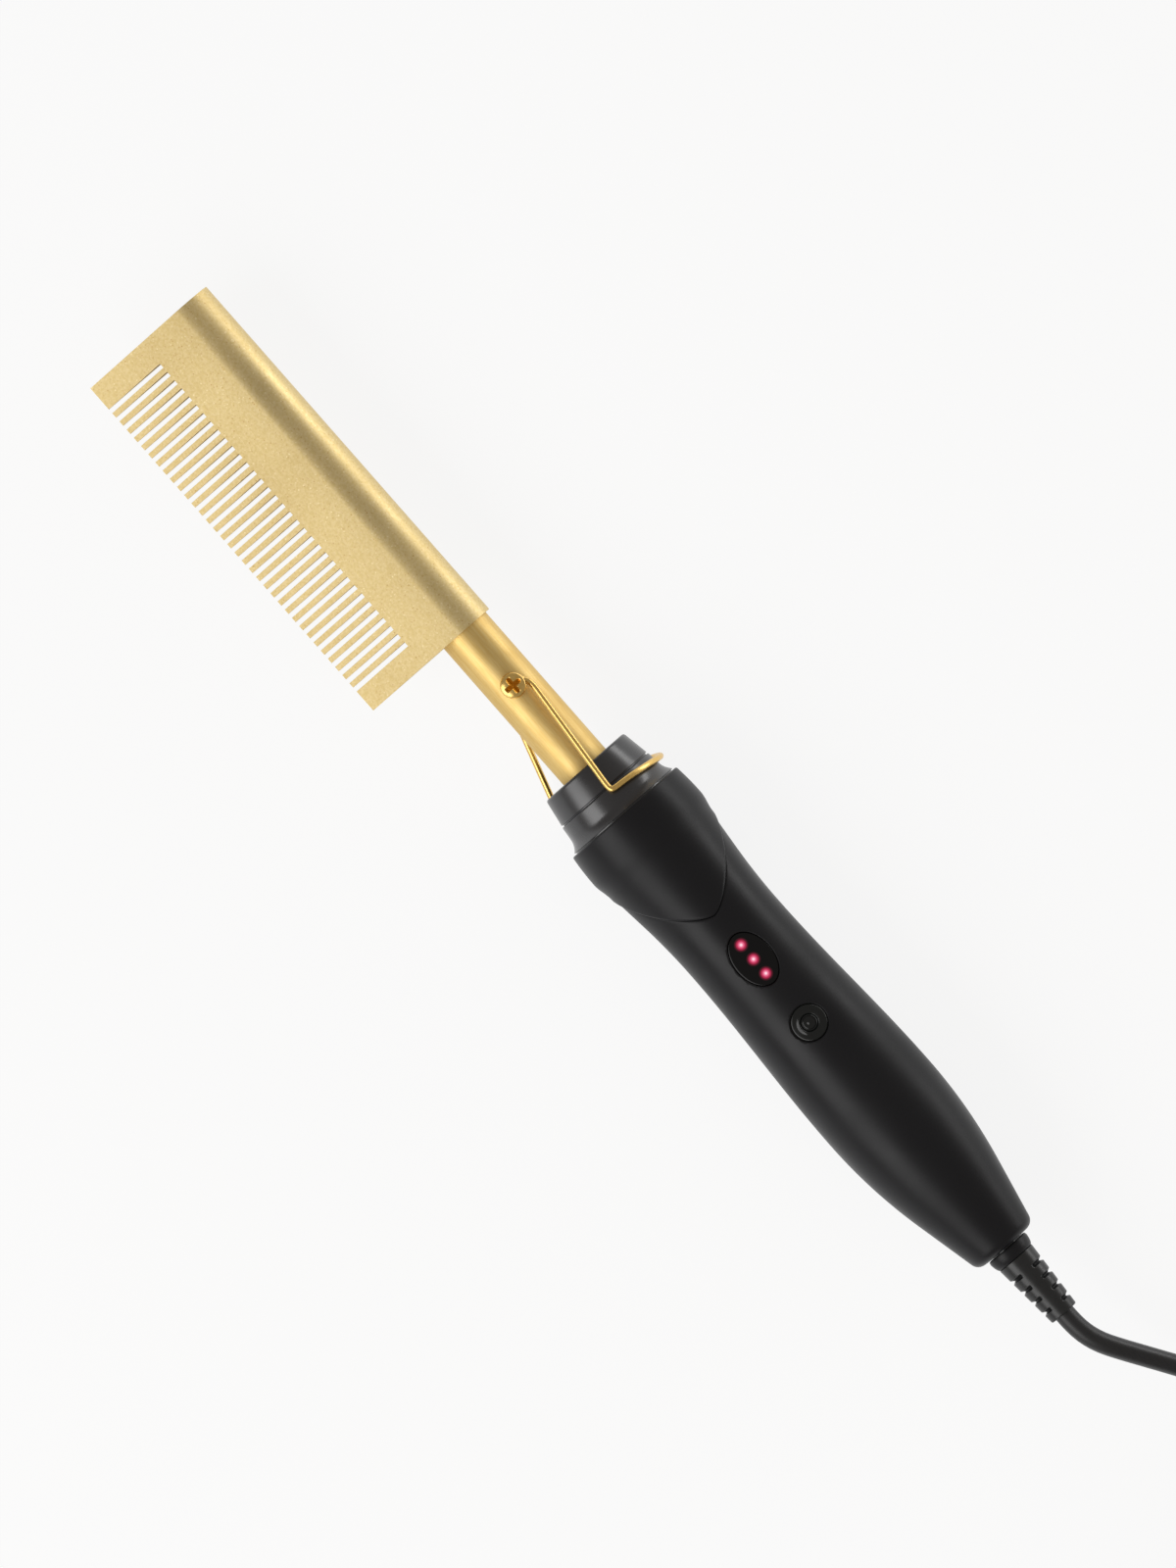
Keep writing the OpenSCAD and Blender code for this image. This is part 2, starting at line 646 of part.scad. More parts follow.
module rear_shell() {
    color("#242323") placed() difference() {
        union() {
            shell_body(-1);
            intersection() {
                block(holder_x, 0, -axis_h, [holder_l, 2 * holder_y, axis_h + holder_bottom]);
                turned([[0, core_start - 2], [grip_r(core_start) - 1, core_start - 2],
                    [grip_r(rib_x) - 1, rib_x + 1], [0, rib_x + 1]]);
            }
        }
        for (x = [front_screw_x, rear_screw_x]) {
            post(x, 0, -axis_h, 1, shell_screw_d / 2 + 0.15);
            post(x, 0, -axis_h, -screw_seat, shell_head_r + 0.2);
        }
    }
}
module shell_screws() {
    color("#8b8d90") placed() for (x = [front_screw_x, rear_screw_x]) difference() {
        union() {
            post(x, 0, -screw_seat, screw_seat, shell_screw_d / 2);
            post(x, 0, -screw_seat - 2, -screw_seat, shell_head_r);
        }
        for (a = [0, 90]) translate([x, 0, -screw_seat - 2.5]) rotate([0, 0, a])
            block(-1.5, 0, 0, [3, 0.6, 1.5]);
    }
}

// Controls
module indicator_window() {
    color("#111112") placed() intersection() {
        oval_prism(window_l, window_w, window_bottom, axis_h + 1);
        turned(concat([[0, window_x - 12]], [for (x = steps(window_x - 12, window_x + 12, 8)) [
            grip_r(x), x]], [[0, window_x + 12]]));
    }
}
module indicator_leds() {
    r = led_d / 2;
    color("#e8334a") placed() for (i = [-1:1]) {
        post(window_x + i * led_pitch, 0, board_top, led_top - r, r);
        translate([window_x + i * led_pitch, 0, led_top - r]) sphere(r = r);
    }
}
module button_cap() {
    dish_r = 12;
    top = grip_r(button_x);
    color("#17171a") placed() difference() {
        union() {
            intersection() {
                post(button_x, 0, flange_bottom, axis_h, button_d / 2);
                turned(concat([[0, button_x - 8]], [for (x = steps(button_x - 8, button_x + 8, 4)) [
                    grip_r(x) - 0.1, x]], [[0, button_x + 8]]));
            }
            post(button_x, 0, flange_bottom, flange_bottom + flange_h, button_d / 2 + 0.9);
        }
        translate([button_x, 0, top + dish_r - 0.5]) sphere(r = dish_r, $fn = 96);
    }
}
module switch_plunger() {
    color("#d8d8d2") placed() post(button_x, 0, flange_bottom - plunger_l, flange_bottom, plunger_r);
}
module tact_switch() {
    color("#3c3d40") placed() difference() {
        block(button_x - switch_w / 2, 0, board_top, [switch_w, switch_w, switch_h]);
        post(button_x, 0, flange_bottom - plunger_l - button_travel - 0.1, axis_h, plunger_r + 0.1);
    }
}
module control_board() {
    color("#1f6b3d") placed() difference() {
        block(board_x, 0, board_z, [board_l, board_w, board_t]);
        for (x = board_screw_x) for (s = [-1, 1])
            post(x, s * board_screw_y, board_z - 1, board_top + 1, board_screw_r);
    }
}
module board_screws() {
    color("#9a9da1") placed() for (x = board_screw_x) for (s = [-1, 1]) {
        post(x, s * board_screw_y, board_z, board_top + 3, board_screw_r);
        post(x, s * board_screw_y, board_z - 1.2, board_z, 2 * board_screw_r);
    }
}
triac_h = 4.5;
triac_w = 10;
tab_t = 1.3;
film_h = 9;
smoothing_r = 4;
module triac() {
    color("#2b2b2d") placed() union() {
        block(on_board(0.24), 0, board_z - triac_h, [0.13 * board_l, triac_w, triac_h]);
        block(on_board(0.35), 0, board_z - tab_t, [0.09 * board_l, triac_w, tab_t]);
    }
}
module film_capacitor() {
    color("#c8a02a") placed()
        block(on_board(0.51), 0, board_z - film_h, [0.18 * board_l, 6, film_h]);
}
module smoothing_capacitor() {
    color("#29406e") placed() translate([0, 0, board_z - smoothing_r])
        rod_x(on_board(0.73), 0.15 * board_l, smoothing_r);
}
module controller_chip() {
    color("#1a1a1c") placed() block(on_board(0.63), 0, board_top, [0.07 * board_l, 4, 1.6]);
}
module brush_holder() {
    color("#8c3a2a") placed() difference() {
        block(holder_x, 0, holder_bottom, [holder_l, 2 * holder_y, holder_top - holder_bottom]);
        for (x = ring_x) block(x, 0, holder_bottom + 0.8, [ring_w, 3, 4]);
    }
}
module contact_brushes() {
    color("#4a4a4c") placed() for (x = ring_x)
        block(x, 0, holder_bottom + 0.8, [ring_w, 3, -ring_d / 2 - swivel_gap - holder_bottom - 0.8]);
}
power_lead_r = 0.6;
module power_leads() {
    lead_z = (holder_top + holder_bottom) / 2;
    color("#3a5fb0") placed() for (s = [-1, 1])
        tube([[holder_x, s * 3, lead_z], [holder_x - 0.6, s * 3, lead_z], [holder_x - 2.2, s * 4.6, lead_z],
            [holder_x - 9, s * 4.8, -2], [power_pad_x, s * 4.2, 1], [power_pad_x, s * 4.2, board_z]],
            power_lead_r, lead_sides);
}

// Swivel and strain relief
core_r = core_d / 2;
cord_r = cord_d / 2;
module swivel_core() {
    color("#3b3b3e") placed() difference() {
        union() {
            rod_x(core_start, relief_x - core_start, core_r);
            rod_x(catch_x + swivel_gap, catch_t - 2 * swivel_gap, core_flange_d / 2);
        }
        rod_x(core_start - 1, relief_x - core_start + 2, 1.6);
    }
}
module slip_rings() {
    color("#c79a45") placed() for (x = ring_x) difference() {
        rod_x(x, ring_w, ring_d / 2);
        rod_x(x - 1, ring_w + 2, core_r);
    }
}
module swivel_collar() {
    back = relief_front_d / 2 - 0.4;
    front = collar_d / 2;
    color("#1e1d1d") placed() turned(concat(
        [[core_r, swivel_x], [front - 0.3, swivel_x], [front, swivel_x + 0.3]],
        [for (a = steps(20, 90, 5)) [back + (front - back) * cos(a), swivel_x + collar_l * sin(a)]],
        [[core_r, relief_x]]));
}
rib_pitch = (relief_l + rib_gap - 1) / rib_count;
function relief_r(x) = (relief_front_d + (relief_back_d - relief_front_d) * (x - relief_x) / relief_l) / 2;
module strain_relief() {
    color("#1c1b1b") placed() difference() {
        turned([[cord_r, relief_x], [relief_r(relief_x), relief_x],
            [relief_r(relief_end), relief_end], [cord_r, relief_end]]);
        difference() {
            for (i = [1:rib_count - 1]) {
                x = relief_x + 1 + i * rib_pitch - rib_gap;
                turned([[cord_r + 0.5, x], [relief_front_d, x], [relief_front_d, x + rib_gap],
                    [cord_r + 0.5, x + rib_gap]]);
            }
            block(relief_x - 1, 0, -relief_front_d, [relief_l + 2, band_w, 2 * relief_front_d]);
        }
    }
}
module cord_stub() {
    color("#232222") placed() rod_x(relief_x, relief_l, cord_r);
}

// Cord: it leaves the strain relief, comes down to the surface and runs to a hank beyond
lead_route = [
    [307, 0, 0], [309.5, 0, 0], [313, 0.3, -0.2], [316.7, 1.4, -0.8], [320.2, 3.2, -1.7],
    [331, 10, -5.9], [341, 16.2, -9.6], [348, 19.6, -11.3], [355, 21.5, -12.2], [362, 22.1, -12.6],
    [374, 22.1, -12.6], [387, 22.1, -12.6]];
tail_route = [
    [472, 22.1, 3.9], [482, 22, 3.6], [492, 20, 1.2], [502, 16.5, -3], [512, 12, -7],
    [522, 8.5, -9], [531, 7, -9.45], [536, 7, -9.45]];
module cord_lead() { color("#232222") placed() tube(lead_route, cord_r, 10); }
module cord_tail() { color("#232222") placed() tube(tail_route, cord_r, 10); }

// Hank: four layers of one and a half loops. A loop's phase runs 0 to 1 from the middle of one run;
// the spiral reverses, and climbs a layer, in the middle of a run.
hank_x = 429.5;
hank_y = -2;
layer_turns = 1.5;
half_run = 1 / 8;
waist_widen = 0.08;
rings_a_loop = 24;
hank_start = -half_run;
hank_stop = 4 * layer_turns + half_run;
climbs = [for (i = [1:3]) i * layer_turns];
function spiral(t) = t < layer_turns ? layer_turns - t
    : t < 2 * layer_turns ? t - layer_turns
    : t < 3 * layer_turns ? 3 * layer_turns - t : t - 3 * layer_turns;
function climb(t, c) = min(max((t - c) / (2 * half_run) + 0.5, 0), 1);
function level(t) = climb(t, climbs[0]) + climb(t, climbs[1]) + climb(t, climbs[2]);
function drawn(u) = (1 + cos(180 * u)) / 2;
function run_y(t, u) = hank_fold + spiral(t) * hank_step * (1 + waist_widen * drawn(u))
    - waist_draw * drawn(u);
function fold_r(t) = hank_fold + spiral(t) * hank_step;
function flat_point(t, q) =
    q < half_run || q >= 1 - half_run
    ? let (u = (q < 0.5 ? q : q - 1) / half_run) [u * hank_run / 2, run_y(t, u)]
    : q < 0.5 - half_run
    ? let (a = 180 * (q - half_run) / (0.5 - 2 * half_run))
        [hank_run / 2 + fold_r(t) * sin(a), fold_r(t) * cos(a)]
    : q < 0.5 + half_run
    ? let (u = (q - 0.5) / half_run) [-u * hank_run / 2, -run_y(t, u)]
    : let (a = 180 * (q - 0.5 - half_run) / (0.5 - 2 * half_run))
        [-hank_run / 2 - fold_r(t) * sin(a), -fold_r(t) * cos(a)];
hank_low = floor_z + tie_t + cord_r;
function hank_point(t) = let (p = flat_point(t, t - floor(t)))
    [hank_x + p[0], hank_y + p[1], hank_low + hank_layer * level(t)];
hank_rings = round((hank_stop - hank_start) * rings_a_loop);
hank_turns = [for (t = steps(hank_start + 0.0001, hank_stop - 0.0001, hank_rings)) hank_point(t)];
first_turn = hank_turns[0];
last_turn = hank_turns[len(hank_turns) - 1];
hank_route = concat([first_turn - [cord_d, 0, 0]], hank_turns, [last_turn + [cord_d, 0, 0]]);
near_skip = 6;
least_gap = min([for (i = [0:len(hank_route) - 1 - near_skip]) for (j = [i + near_skip:len(hank_route) - 1])
    norm(hank_route[i] - hank_route[j])]) - cord_d;
module cord_hank() {
    echo(least_gap_in_the_hank = least_gap);
    color("#232222") placed() tube(hank_route, cord_r, 6);
}

// Tie: a band round the waist of the hank, with its end lapped on top
tie_gap = 0.3;
tie_corner = 2.6;
tie_high = hank_y + run_y(0, tie_w / hank_run) + cord_r + tie_gap;
tie_low = hank_y - run_y(0.5, tie_w / hank_run) - cord_r - tie_gap;
tie_top = hank_low + 3 * hank_layer + cord_r + tie_gap;
module rounded(y0, y1, z0, z1, r) {
    translate([y0, z0 + r]) square([y1 - y0, z1 - z0 - 2 * r]);
    translate([y0 + r, z0]) square([y1 - y0 - 2 * r, z1 - z0]);
    for (y = [y0 + r, y1 - r]) for (z = [z0 + r, z1 - r]) translate([y, z]) circle(r = r);
}
module cord_tie() {
    lap = 14;
    color("#2c2c30") placed() union() {
        across_x(hank_x - tie_w / 2, tie_w) difference() {
            rounded(tie_low - tie_t, tie_high + tie_t, floor_z, tie_top + tie_t, tie_corner + tie_t);
            rounded(tie_low, tie_high, floor_z + tie_t, tie_top, tie_corner);
        }
        block(hank_x - tie_w / 2 + 0.5, hank_y + 2, tie_top + tie_t - 0.01, [tie_w - 1, lap, tie_t]);
    }
}

// Plug: flat two-pin plug with round pins
plug_x = 536;
plug_y = 7;
plug_z = floor_z + plug_t / 2;
body_x = plug_x + plug_neck_l;
face_x = body_x + plug_l;
neck_w = 9;
pin_root_r = pin_d / 2 + 0.6;
pin_root_l = 8;
module plug_body() {
    w = plug_w / 2;
    t = plug_t / 2;
    side_t = 2;
    slant = t - side_t;
    color("#1f1f20") placed() translate([0, plug_y, plug_z]) difference() {
        union() {
            intersection() {
                translate([0, 0, -t]) linear_extrude(plug_t) polygon(concat(
                    [for (s = steps(0, 1, 8)) [body_x + plug_l * s * 0.7,
                        -neck_w / 2 - (w - neck_w / 2) * ease(s)]],
                    [[face_x, -w], [face_x, w]],
                    [for (s = steps(1, 0, 8)) [body_x + plug_l * s * 0.7,
                        neck_w / 2 + (w - neck_w / 2) * ease(s)]]));
                across_x(body_x - 1, plug_l + 2) polygon([
                    [-w, -side_t], [-w + slant, -t], [w - slant, -t], [w, -side_t],
                    [w, side_t], [w - slant, t], [-w + slant, t], [-w, side_t]]);
            }
            turned([[0, plug_x], [cord_r + 1, plug_x], [neck_w / 2, body_x + 0.5], [0, body_x + 0.5]]);
        }
        for (s = [-1, 1]) translate([0, s * pin_spacing / 2, 0])
            rod_x(face_x - pin_root_l, pin_root_l + 1, pin_root_r);
    }
}
module plug_pins() {
    r = pin_d / 2;
    color("#c9cbce") placed() translate([0, plug_y, plug_z]) for (s = [-1, 1])
        translate([0, s * pin_spacing / 2, 0]) turned(concat(
            [[0, face_x - pin_root_l], [pin_root_r, face_x - pin_root_l], [pin_root_r, face_x],
                [r, face_x]],
            [for (a = steps(0, 90, 4)) [
                r - pin_tip_l + pin_tip_l * cos(a), face_x + pin_l - pin_tip_l + pin_tip_l * sin(a)]],
            [[0, face_x + pin_l]]));
}

comb_head();
heater_block_upper();
heater_block_lower();
ceramic_heater();
insulation_film();
temperature_sensor();
thermal_fuse();
heater_leads();
sensor_leads();
neck_tube();
pivot_spacer();
stand_screws();
stand_wire();
heat_collar();
rest_collar();
nose_cover();
neck_bush();
neck_pin();
front_shell();
rear_shell();
shell_screws();
indicator_window();
indicator_leds();
button_cap();
switch_plunger();
tact_switch();
control_board();
board_screws();
triac();
film_capacitor();
smoothing_capacitor();
controller_chip();
brush_holder();
contact_brushes();
power_leads();
swivel_core();
slip_rings();
swivel_collar();
strain_relief();
cord_stub();
cord_lead();
cord_hank();
cord_tail();
cord_tie();
plug_body();
plug_pins();
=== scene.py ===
"""Looks of an electric hot comb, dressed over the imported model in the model's own frame.

Shapes are worked out in millimetres in the work frame (x from the comb's tip along the long axis,
y towards the comb's spine, z towards the lamps), and place() moves them into the model's frame.
"""
import logging
import math
from dataclasses import dataclass, field
from enum import Enum
from typing import Callable, Sequence

import bmesh
import bpy
import numpy as np
from mathutils import Matrix


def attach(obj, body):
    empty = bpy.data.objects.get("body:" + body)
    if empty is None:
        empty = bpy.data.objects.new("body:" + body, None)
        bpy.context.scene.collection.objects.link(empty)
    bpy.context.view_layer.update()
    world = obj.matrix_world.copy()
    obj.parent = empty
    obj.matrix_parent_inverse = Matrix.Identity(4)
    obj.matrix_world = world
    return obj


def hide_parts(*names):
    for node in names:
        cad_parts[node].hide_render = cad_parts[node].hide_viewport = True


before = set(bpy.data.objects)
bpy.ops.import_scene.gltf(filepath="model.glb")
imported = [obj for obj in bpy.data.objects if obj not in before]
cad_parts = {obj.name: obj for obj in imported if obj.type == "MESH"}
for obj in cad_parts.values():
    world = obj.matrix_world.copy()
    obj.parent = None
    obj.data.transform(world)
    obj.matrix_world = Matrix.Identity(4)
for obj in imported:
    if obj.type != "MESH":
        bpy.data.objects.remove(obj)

log = logging.getLogger("hot_comb")
Array = np.ndarray
Piece = bpy.types.Object
Tree = bpy.types.NodeTree
Socket = bpy.types.NodeSocket
Pair = tuple[float, float]
Rows = Sequence[Sequence[float]]
MM = 0.001
TURN = 2 * math.pi

# The work frame's origin in the model's frame, and the height of the surface in the work frame
ORIGIN = np.array([-153.5, 5.8, 16.3])
FLOOR_Z = -16.3


# Shapes

class Axis(Enum):
    """Which way the axis of a turned piece points."""

    LONG = "along the comb and the handle"
    UPRIGHT = "from the back to the front"


def place(points: Array) -> Array:
    """Moves work-frame millimetres to the model's frame: adds the origin and turns to metres."""
    return (np.asarray(points, float) + ORIGIN) * MM


def ramp(start: float, stop: float, count: int) -> Array:
    """Even steps from start to stop, both included."""
    return np.linspace(start, stop, count)


def ease(t: Array) -> Array:
    """Smooth step: three t squared less two t cubed."""
    t = np.clip(t, 0.0, 1.0)
    return t * t * (3 - 2 * t)


def round_off(t: Array, size: float) -> Array:
    """Fall of a rounded edge: the size times one less the root of one less t squared."""
    return size * (1 - np.sqrt(1 - np.clip(t, 0.0, 1.0) ** 2))


def bell(distance: Array, width: float) -> Array:
    """Bell curve: e to the power of minus the square of distance over width."""
    return np.exp(-((distance / width) ** 2))


def round_angles(sides: int) -> Array:
    """One row of even angles once round, from 0, without the one that would close the turn."""
    return (np.arange(sides) * TURN / sides)[None, :]


def crowded(end: float, size: float, start: float, count: int) -> Array:
    """Places that crowd towards an end: end less size, plus size times the sine of even angles."""
    return end - size + size * np.sin(ramp(start, 1, count) * np.pi / 2)


def joined(*coordinates: Array | float) -> Array:
    """Points from their coordinates, each stretched to the shape that they share."""
    return np.stack(np.broadcast_arrays(*coordinates), -1)


def about_long(x: Array | float, radius: Array | float, a: Array) -> Array:
    """Points round the long axis: y is radius times cosine, and z radius times sine."""
    return joined(x, radius * np.cos(a), radius * np.sin(a))


def about_upright(radius: Array | float, z: Array | float, a: Array) -> Array:
    """Points round an upright axis: x is radius times cosine, and y radius times sine."""
    return joined(radius * np.cos(a), radius * np.sin(a), z)


def crossed(r: Array, a: Array, groove: Callable[[Array, Array], Array]) -> Array:
    """Depth of two crossed grooves; groove gives one's, from the places across and along it."""
    u, v = np.abs(r * np.cos(a)), np.abs(r * np.sin(a))
    return np.maximum(groove(u, v), groove(v, u))


def bezier(a: Array, corner: Array, b: Array, steps: int) -> Array:
    """Quadratic Bezier curves, one a row, from each a past its corner to its b."""
    t = ramp(0, 1, steps)[None, :, None]
    return (1 - t) ** 2 * a[:, None] + 2 * t * (1 - t) * corner[:, None] + t ** 2 * b[:, None]


def rounded_corners(points: Rows, radii: float | Sequence[float],
                    steps: int = 5, closed: bool = True) -> Array:
    """Rounds the corners of a profile.

    Each corner gives way to a quadratic Bezier curve between the points that lie one radius
    before and behind it, and never more than 0.45 of a side away.

    Args:
        points: corners of the profile, in order.
        radii: distance from each corner at which its curve starts.
        steps: points on each curve.
        closed: whether the last corner is joined to the first.

    Returns:
        The rounded profile, one row a point.
    """
    p = np.asarray(points, float)
    r = np.broadcast_to(np.asarray(radii, float), (len(p),))[:, None]
    ends = []
    for shift in (1, -1):
        side = np.roll(p, shift, 0) - p
        length = np.maximum(np.linalg.norm(side, axis=1, keepdims=True), 1e-9)
        ends.append(p + side / length * np.minimum(r, 0.45 * length))
    curve = bezier(ends[0], p, ends[1], steps)
    if not closed:
        curve[0], curve[-1] = p[0], p[-1]
    return curve.reshape(-1, p.shape[1])


def steps_of(line: Array) -> Array:
    """Distances between neighbouring points of a line."""
    return np.linalg.norm(np.diff(line, axis=0), axis=1)


def smooth_route(points: Rows, reach: float = math.inf) -> Array:
    """Smooth line along a route: every inner corner is rounded, from half a side away at most.

    With no limit to the reach this is the quadratic B-spline of the route's points.

    Args:
        points: the route's points.
        reach: greatest distance from a corner at which its curve starts.

    Returns:
        Points of the line, one row each, with no point twice.
    """
    p = np.asarray(points, float)
    ahead = p[1:] - p[:-1]
    size = np.linalg.norm(ahead, axis=1, keepdims=True)
    cut = np.minimum(reach, 0.5 * size) / size
    corner = p[1:-1]
    curve = bezier(corner - ahead[:-1] * cut[:-1], corner, corner + ahead[1:] * cut[1:], 6)
    line = np.concatenate([p[:1], curve.reshape(-1, 3), p[-1:]])
    return line[np.concatenate([[True], steps_of(line) > 1e-4])]


def resampled(line: Array, spacing: float) -> Array:
    """Points at even distances along a line, by linear interpolation over its arc length."""
    run = np.concatenate([[0.0], np.cumsum(steps_of(line))])
    at = ramp(0, run[-1], max(2, int(round(run[-1] / spacing)) + 1))
    return joined(*[np.interp(at, run, line[:, k]) for k in range(3)])


def length_of(line: Array) -> float:
    """Arc length of a line: the sum of the distances between neighbouring points."""
    return float(steps_of(line).sum())


@dataclass
class Surface:
    """Points and faces of one mesh, in work-frame millimetres."""

    points: list[Array] = field(default_factory=list)
    faces: list[list[int]] = field(default_factory=list)
    count: int = 0

    def add(self, points: Array) -> int:
        """Adds points and returns the index of the first."""
        first = self.count
        self.points.append(np.asarray(points, float).reshape(-1, 3))
        self.count += len(self.points[-1])
        return first

    def grid(self, points: Array, wrap_rows: bool = False, wrap_columns: bool = False,
             caps: bool = False) -> "Surface":
        """Adds a grid of points with a four-sided face in each cell.

        Args:
            points: rows by columns by three.
            wrap_rows: whether the last row is joined to the first.
            wrap_columns: whether the last column is joined to the first.
            caps: whether the first and last row are closed by a fan to their middle point.

        Returns:
            The surface itself.
        """
        rows, columns = points.shape[:2]
        first = self.add(points)
        i = np.arange(rows if wrap_rows else rows - 1)[:, None]
        j = np.arange(columns if wrap_columns else columns - 1)[None, :]
        i2, j2 = (i + 1) % rows, (j + 1) % columns
        cells = joined(i * columns + j, i * columns + j2, i2 * columns + j2, i2 * columns + j)
        self.faces += (cells.reshape(-1, 4) + first).tolist()
        if caps:
            k = np.arange(columns)
            for row in (0, rows - 1):
                middle = self.add(points[row].mean(0, keepdims=True))
                ring = first + row * columns
                self.faces += joined(ring + k, ring + (k + 1) % columns, middle).tolist()
        return self

    def capped(self, *blocks: Array) -> "Surface":
        """Adds closed rings of points, in one or more blocks of rows, with both ends closed."""
        return self.grid(np.concatenate(blocks), wrap_columns=True, caps=True)

    def turned(self, profile: Array, sides: int = 96, caps: bool = False, axis: Axis = Axis.LONG,
               at: Pair = (0.0, 0.0)) -> "Surface":
        """Adds a profile of (place along the axis, radius) points turned round that axis.

        Args:
            profile: rows of (along, radius), a closed loop unless caps is true.
            sides: steps round the axis.
            caps: whether the profile is open, with its two ends closed across the axis.
            axis: the long way, which is the default, or upright.
            at: the axis's place: y and z of a long one, x and y of an upright one.

        Returns:
            The surface itself.
        """
        a = round_angles(sides)
        along, radius = profile[:, :1], profile[:, 1:]
        if axis is Axis.UPRIGHT:
            points = about_upright(radius, along, a) + (*at, 0)
        else:
            points = about_long(along, radius, a) + (0, *at)
        return self.grid(points, wrap_rows=not caps, wrap_columns=True, caps=caps)

    def tube(self, line: Array, section: Array, closed: bool = False,
             start: Sequence[float] = (0.0, 0.0, 1.0)) -> "Surface":
        """Adds a section carried along a line, square to it, with no twist of its own.

        The section's first axis is carried from ring to ring by taking out what points along the
        line, so that it turns only as the line bends.

        Args:
            line: points of the middle line.
            section: rows of (across, up) distances, or rings by sides by two.
            closed: whether the line's end is joined to its start.
            start: direction near which the section's first axis starts.

        Returns:
            The surface itself.
        """
        ahead = np.gradient(line, axis=0)
        if closed:
            ahead = np.roll(line, -1, 0) - np.roll(line, 1, 0)
        ahead /= np.linalg.norm(ahead, axis=1, keepdims=True)
        side = np.empty_like(ahead)
        last = np.asarray(start, float)
        for k, t in enumerate(ahead):
            last = last - (last @ t) * t
            last = last / np.linalg.norm(last)
            side[k] = last
        other = np.cross(ahead, side)
        s = np.broadcast_to(section, (len(line),) + section.shape[-2:])
        carried = line[:, None] + s[..., :1] * side[:, None] + s[..., 1:] * other[:, None]
        return self.grid(carried, wrap_rows=closed, wrap_columns=True, caps=not closed)

    def mesh(self, name: str, crease: float = 35.0) -> Piece:
        """Makes the mesh object: merged, faces outwards, smooth but for its sharp edges.

        Args:
            name: the object's name.
            crease: angle in degrees above which an edge stays sharp.

        Returns:
            The new object, at the origin, linked to the scene.
        """
        data = bpy.data.meshes.new(name)
        data.from_pydata(place(np.concatenate(self.points)).tolist(), [], self.faces)
        shape = bmesh.new()
        shape.from_mesh(data)
        bmesh.ops.remove_doubles(shape, verts=shape.verts, dist=1e-6)
        bmesh.ops.dissolve_degenerate(shape, edges=shape.edges, dist=1e-7)
        bmesh.ops.recalc_face_normals(shape, faces=shape.faces)
        shape.to_mesh(data)
        shape.free()
        return linked(name, smoothed(data, crease))


def linked(name: str, data: bpy.types.ID) -> Piece:
    """Makes an object of its data and links it to the scene."""
    made = bpy.data.objects.new(name, data)
    bpy.context.scene.collection.objects.link(made)
    return made


def smoothed(data: bpy.types.Mesh, crease: float) -> bpy.types.Mesh:
    """Shades a mesh smooth but for the edges sharper than an angle in degrees."""
    data.shade_smooth()
    data.set_sharp_from_angle(angle=math.radians(crease))
    return data


def circle(radius: float, sides: int) -> Array:
    """Section of a round bar: radius times cosine and sine of even angles."""
    a = round_angles(sides)[0]
    return radius * joined(np.cos(a), np.sin(a))


def cut(piece: Piece, cutter: Piece, crease: float) -> None:
    """Takes the cutter's solid out of the piece for good and removes the cutter."""
    tool = piece.modifiers.new("cut", "BOOLEAN")
    tool.operation, tool.solver, tool.object = "DIFFERENCE", "EXACT", cutter
    graph = bpy.context.evaluated_depsgraph_get()
    made = bpy.data.meshes.new_from_object(piece.evaluated_get(graph))
    piece.modifiers.clear()
    piece.data = smoothed(made, crease)
    bpy.data.objects.remove(cutter)


def bevel(piece: Piece, width: float) -> None:
    """Rounds the piece's edges that are sharper than 40 degrees, by a width in millimetres."""
    tool = piece.modifiers.new("rounded_edges", "BEVEL")
    tool.width, tool.segments = width * MM, 2
    tool.limit_method, tool.angle_limit = "ANGLE", math.radians(40)
    tool.harden_normals = True


def finished(piece: Piece, finish: "Finish", slot: str, *nodes: str, body: str = "comb") -> Piece:
    """Dresses a piece, makes it ride, and lets it stand for CAD nodes.

    Args:
        piece: the finished mesh object.
        finish: its real material.
        slot: not used.
        nodes: the CAD nodes that it replaces, if any.
        body: the moving or fixed body that carries it.

    Returns:
        The piece.
    """
    piece.data.materials.clear()
    piece.data.materials.append(finish.material())
    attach(piece, body)
    if nodes:
        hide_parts(*nodes)
    log.info("%s rides on %s, %d faces", piece.name, body, len(piece.data.polygons))
    return piece


# Finishes

def linear(colour: str) -> tuple[float, float, float, float]:
    """Turns an sRGB hex colour into the opaque linear values that a shader takes."""
    parts = [int(colour[i:i + 2], 16) / 255 for i in (1, 3, 5)]
    return (*[p / 12.92 if p <= 0.04045 else ((p + 0.055) / 1.055) ** 2.4 for p in parts], 1.0)


def blend(tree: Tree, share: Socket, first: object, second: object) -> Socket:
    """Mixes two colours, each a socket or linear values, by a share from 0 to 1."""
    return add_node(tree, "Mix", {0: share, 6: first, 7: second}, data_type="RGBA").outputs[2]


def spread_over(tree: Tree, value: Socket, before: Pair, after: Pair = (0.0, 1.0)) -> Socket:
    """Maps a value from one range to another in a straight line, held at both ends."""
    limits = dict(enumerate((*before, *after), start=1))
    return add_node(tree, "MapRange", {0: value, **limits}).outputs[0]


def math_of(tree: Tree, operation: str, first: Socket, second: Socket | float) -> Socket:
    """Works out one sum, product, maximum or the like of two values."""
    return add_node(tree, "Math", {0: first, 1: second}, operation=operation).outputs[0]


def object_place(tree: Tree) -> Socket:
    """The place in the object's own coordinates, in metres, which rides with the piece."""
    return add_node(tree, "TexCoord").outputs["Object"]


